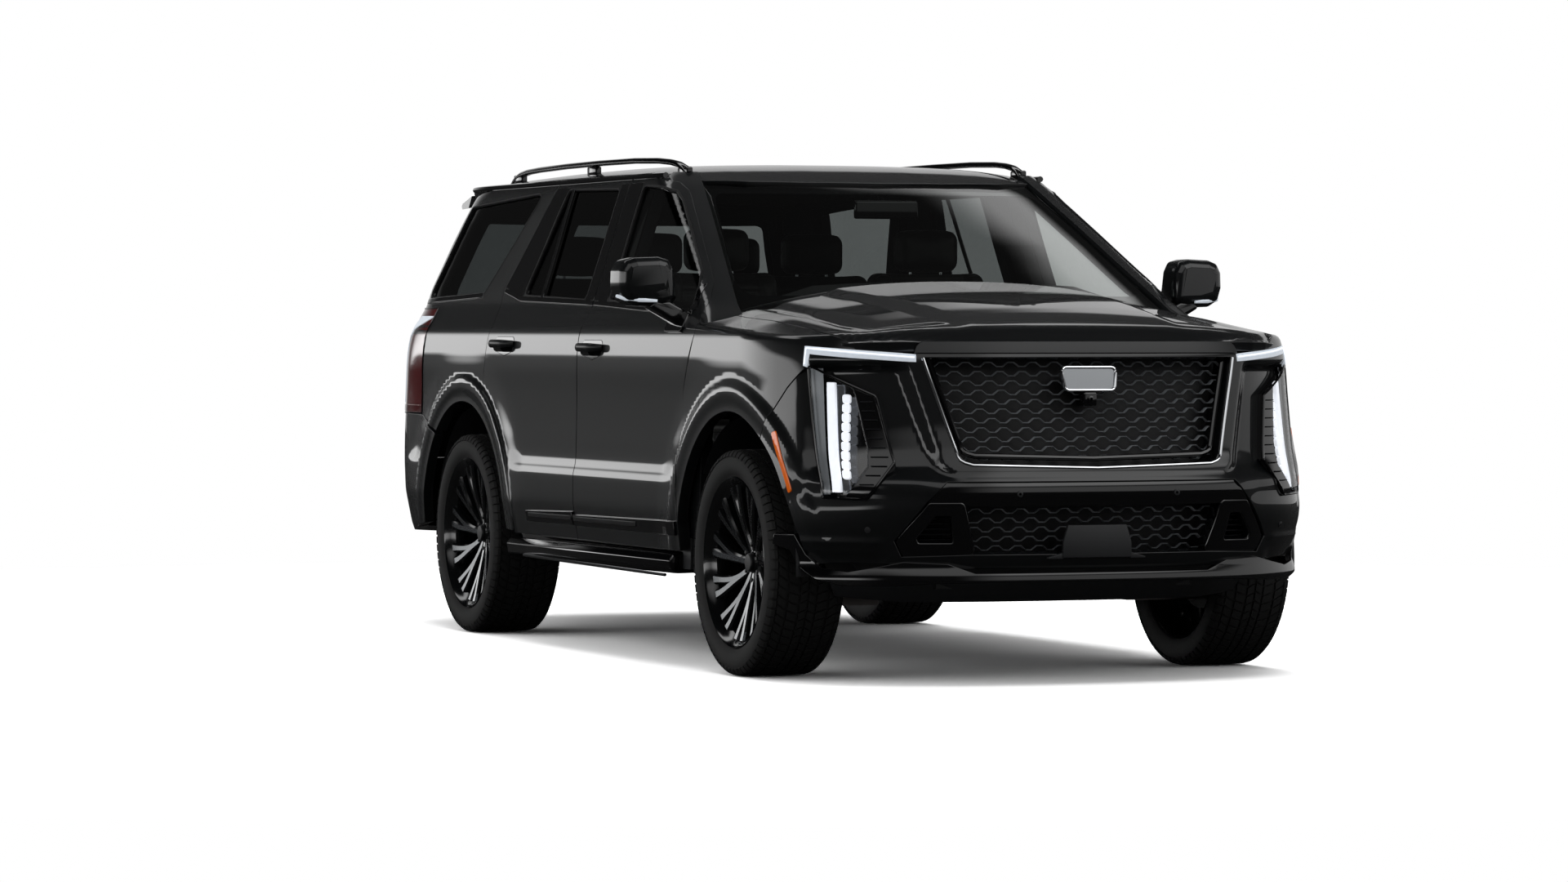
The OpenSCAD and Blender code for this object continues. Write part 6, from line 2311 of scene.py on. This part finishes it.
def set_pad(name, mesh, centre, upright, replaces=()):
    """A copy of a padded form at its place; upright turns its top towards the front."""
    made = mesh.copy()
    made.name = name
    if upright:
        made.transform(Matrix.Rotation(math.radians(90), 4, "X"))
    made.transform(Matrix.Translation(centre))
    for face in made.polygons:
        face.use_smooth = True
    made.materials.clear()
    made.materials.append(MATERIALS["leather"])
    piece = bpy.data.objects.new(name, made)
    bpy.context.scene.collection.objects.link(piece)
    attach(piece, "body")
    if replaces:
        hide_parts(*replaces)
    return piece


class SUV_OT_seats(bpy.types.Operator):
    """Make the seats of all three rows"""
    bl_idname = "suv.seats"
    bl_label = "Seats"

    def execute(self, context):
        m = MATERIALS
        wide = 1.18
        cushion = upholster((SEAT_WIDTH, 0.50, 0.17), 0.045, 0.10, 5)
        back = upholster((SEAT_WIDTH, 0.755, 0.15), 0.045, 0.10, 7, slim=0.14)
        rest = upholster((0.26, 0.168, 0.11), 0.035)
        bench = upholster((wide, 0.50, 0.17), 0.045, 0.08, 3)
        bench_back = upholster((wide, 0.755, 0.15), 0.045, 0.08, 5, slim=0.06)
        frames = bmesh.new()
        posts = bmesh.new()
        rows = [("front_left", 0.44, -0.56, cushion, back, ["front_seats"]),
                ("front_right", -0.44, -0.56, cushion, back, []),
                ("middle_left", 0.35, 0.43, cushion, back, ["second_row_seats"]),
                ("middle_right", -0.35, 0.43, cushion, back, []),
                ("rear", 0.0, 1.35, bench, bench_back, ["third_row_seat"])]
        for name, x, y, seat, tall, stands in rows:
            set_pad(f"{name}_seat_cushion", seat, (x, y + 0.25, 0.785), False, stands)
            set_pad(f"{name}_seat_back", tall, (x, y + 0.494, 1.080), True)
            half = (wide if name == "rear" else SEAT_WIDTH) / 2
            add_box(frames, (x - half + 0.06, y + 0.06, 0.562),
                    (x + half - 0.06, y + 0.44, 0.700), 0.012)
            heads = (-0.34, 0.34) if name == "rear" else (0.0,)
            for k, dx in enumerate(heads):
                tag = f"{name}_headrest" if len(heads) == 1 else f"{name}_headrest_{k + 1}"
                set_pad(tag, rest, (x + dx, y + 0.495, 1.544), True)
                for px in (-0.065, 0.065):
                    add_tube(posts, [(x + dx + px, y + 0.495, 1.42),
                                     (x + dx + px, y + 0.495, 1.49)], 0.006, sides=10)
        place("seat_bases", frames, m["plastic"], "body", "cabin_trim")
        place("headrest_posts", posts, m["chrome"], "body", "cabin_trim")
        for held in (cushion, back, rest, bench, bench_back):
            bpy.data.meshes.remove(held)
        return {"FINISHED"}


class SUV_OT_cabin(bpy.types.Operator):
    """Make the dashboard, the steering wheel, the console and the linings"""
    bl_idname = "suv.cabin"
    bl_label = "Cabin"

    def execute(self, context):
        m = MATERIALS
        # dashboard: a crowned top, a face that leans away, and a padded lower edge
        bm = bmesh.new()
        section = [(-1.290, 1.165), (-1.150, 1.192), (-1.020, 1.190), (-0.955, 1.160),
                   (-0.930, 1.085), (-0.890, 1.050), (-0.880, 0.985), (-0.925, 0.905),
                   (-1.200, 0.905), (-1.290, 0.990)]
        add_prism(bm, rounded(section, 0.02, 3), -0.795, 0.795, "x", bevel=0.008)
        place("dashboard_cover", bm, m["vinyl"], "body", "cabin_trim", ["dashboard"])
        bm = bmesh.new()
        add_prism(bm, rounded([(-0.925, 1.040), (-0.962, 1.158), (-0.955, 1.162),
                               (-0.916, 1.043)], 0.002, 1), -0.16, 0.70, "x", bevel=0.002)
        place("dashboard_screen", bm, m["gloss"], "body", "cabin_trim")
        bm = bmesh.new()
        for x0, x1 in ((-0.78, -0.60), (-0.56, -0.38), (-0.14, -0.02), (0.02, 0.14), (0.66, 0.78)):
            for z in (0.998, 1.010, 1.022):
                add_box(bm, (x0, -0.8945, z), (x1, -0.880, z + 0.005), 0.0012)
        place("dashboard_vents", bm, m["brushed"], "body", "cabin_trim")
        # steering wheel, turned about the column
        low, high = (Vector(c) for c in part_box("steering_wheel"))
        axis = Vector((0, 0.92718, 0.37461)).normalized()
        centre = Vector(((low.x + high.x) / 2, -0.76, 1.12))
        across = Vector((1, 0, 0))
        up = axis.cross(across).normalized()
        if up.z < 0:
            up = -up
        bm = bmesh.new()
        count = 48
        ring = [centre + across * x + up * z
                for x, z in around(STEERING_RADIUS, 0, 2 * math.pi, count + 1)[:-1]]
        add_tube(bm, ring, 0.0148, sides=12, closed=True, up=tuple(axis))
        place("steering_wheel_rim", bm, m["leather"], "steering_wheel", "cabin_trim",
              ["steering_wheel"])
        bm = bmesh.new()
        add_lathe(bm, [(0.0, -0.030), (0.055, -0.030), (0.068, -0.012), (0.066, 0.006),
                       (0.050, 0.014), (0.0, 0.018)], centre, axis, 36)
        for a in (0.12, math.pi - 0.12, -math.pi / 2):
            way = across * math.cos(a) + up * math.sin(a)
            add_tube(bm, [centre + way * 0.05, centre + way * 0.12 - axis * 0.004,
                          centre + way * 0.168], [0.020, 0.014, 0.011], sides=8, flat=0.45,
                     up=tuple(axis))
        place("steering_wheel_hub", bm, m["vinyl"], "steering_wheel", "cabin_trim")
        bm = bmesh.new()
        add_tube(bm, [centre - axis * 0.034, centre - axis * 0.10, centre - axis * 0.24],
                 [0.030, 0.044, 0.050], sides=20)
        for way in (-1, 1):
            add_tube(bm, [centre - axis * 0.075, centre - axis * 0.070 + across * way * 0.10,
                          centre - axis * 0.066 + across * way * 0.135],
                     [0.009, 0.007, 0.006], sides=8)
        place("steering_column_cover", bm, m["plastic"], "body", "cabin_trim")
        # console with its armrest, knobs and cup wells
        bm = bmesh.new()
        add_prism(bm, rounded([(-0.865, 0.565), (-0.865, 0.835), (-0.62, 0.838), (-0.42, 0.800),
                               (0.025, 0.800), (0.025, 0.565)], 0.02, 3), -0.155, 0.155, "x",
                  bevel=0.010)
        place("console_body", bm, m["vinyl"], "body", "cabin_trim", ["centre_console"])
        bm = bmesh.new()
        add_box(bm, (-0.145, -0.40, 0.798), (0.145, 0.02, 0.848), 0.018, 4)
        place("console_armrest", bm, m["leather"], "body", "seat_leather")
        bm = bmesh.new()
        for y in (-0.56, -0.47):
            add_lathe(bm, [(0.036, -0.004), (0.042, -0.004), (0.042, 0.006), (0.036, 0.006)],
                      (0.055, y, 0.826), (0, 0.05, 1), 32)
        add_lathe(bm, [(0.0, -0.002), (0.030, -0.002), (0.030, 0.014), (0.026, 0.018),
                       (0.0, 0.018)], (-0.06, -0.52, 0.822), (0, 0.05, 1), 36)
        place("console_rings", bm, m["brushed"], "body", "cabin_trim")
        # carpet, in the footwells and behind, and the mat of the load space
        bm = bmesh.new()
        add_box(bm, (-0.80, -1.18, 0.5605), (0.80, 1.95, 0.5665), 0.002)
        place("floor_carpet", bm, m["carpet"], "body", "cabin_trim")
        # headlining and the linings beside the rear windows
        lining = panel(dense([(-0.66, -0.46), (0.66, -0.46), (0.70, -0.1), (0.70, 1.9),
                              (0.62, 2.12), (-0.62, 2.12), (-0.70, 1.9), (-0.70, -0.1)], 0.08),
                       lambda x, y: roof_top(x, y) - np.array([0, 0, 0.062]), 0.06, depth=0.008,
                       facing=-1, lip=[])
        place("headlining_panel", lining, m["headlining"], "body", "cabin_trim")
        loop = [(1.15, 0.965), (2.16, 0.965), (2.16, 1.345), (2.05, 1.73), (1.90, 1.775),
                (0.86, 1.785), (1.10, 1.41)]
        quarter = panel(dense(loop, 0.05), side_in(0.100), 0.05, depth=0.03, facing=-1,
                        holes=[dense(grown(rounded(QUARTER_WINDOW, WINDOW_CORNER), 0.006), 0.06)],
                        lip=LINING_LIP)
        place("quarter_linings", mirrored(quarter), m["vinyl"], "body", "cabin_trim")
        bm = bmesh.new()
        add_box(bm, (-0.13, -0.735, 1.655), (0.13, -0.715, 1.725), 0.010, 4)
        add_tube(bm, [(0, -0.715, 1.70), (0, -0.66, 1.755)], 0.010, sides=10)
        place("inside_mirror", bm, m["gloss"], "body", "cabin_trim")
        return {"FINISHED"}


class SUV_OT_underbody(bpy.types.Operator):
    """Give the frame, the engine, the axles and the floor their finishes"""
    bl_idname = "suv.underbody"
    bl_label = "Underbody"

    def execute(self, context):
        finishes = {
            "floor_pan": "steel", "firewall": "steel", "radiator_support": "steel",
            "chassis_frame": "steel", "front_arms": "iron", "engine": "cast",
            "prop_shaft": "cast", "exhaust": "exhaust", "fuel_tank": "tank",
            "rear_axle": "iron", "left_knuckle": "iron", "right_knuckle": "iron",
            "plate_bracket": "plastic",
        }
        for name, key in finishes.items():
            node = frame["nodes"][name]
            if not node.material_slots:
                node.data.materials.append(MATERIALS[key])
            for held in node.material_slots:
                held.material = MATERIALS[key]
        return {"FINISHED"}


OPERATORS = [SUV_OT_materials, SUV_OT_stage, SUV_OT_front_body, SUV_OT_sides, SUV_OT_grille,
             SUV_OT_headlamps, SUV_OT_trim, SUV_OT_wheels, SUV_OT_rear,
             SUV_OT_seats, SUV_OT_cabin, SUV_OT_underbody]


# ---------------------------------------------------------------- panel and registration
class SUV_PT_panel(bpy.types.Panel):
    """Lists the pieces of the car in the sidebar"""
    bl_idname = "SUV_PT_panel"
    bl_label = "Large SUV"
    bl_space_type = "VIEW_3D"
    bl_region_type = "UI"
    bl_category = "SUV"

    def draw(self, context):
        for group in (context.scene.suv_body, context.scene.suv_wheels, context.scene.suv_stage):
            box = self.layout.box()
            for name in group.__annotations__:
                box.prop(group, name)
        for operator in OPERATORS:
            self.layout.operator(operator.bl_idname)


GROUPS = {"suv_body": SUV_BodySettings, "suv_wheels": SUV_WheelSettings,
          "suv_stage": SUV_StageSettings}


def register():
    """Registers the settings, the operators and the sidebar's panel."""
    for kind in list(GROUPS.values()) + OPERATORS + [SUV_PT_panel]:
        bpy.utils.register_class(kind)
    for name, kind in GROUPS.items():
        setattr(bpy.types.Scene, name, bpy.props.PointerProperty(type=kind))


def unregister():
    """Takes away what register adds."""
    for name in GROUPS:
        delattr(bpy.types.Scene, name)
    for kind in reversed(list(GROUPS.values()) + OPERATORS + [SUV_PT_panel]):
        bpy.utils.unregister_class(kind)


def corners(bounds):
    """Two corners as plain lists of numbers."""
    return [list(map(float, corner)) for corner in bounds]


def main():
    """Makes every piece in order."""
    register()
    for operator in OPERATORS:
        group, name = operator.bl_idname.split(".")
        getattr(getattr(bpy.ops, group), name)()
    {"cad": corners(cad_box), "visual": corners(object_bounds())}


if __name__ == "__main__":
    main()
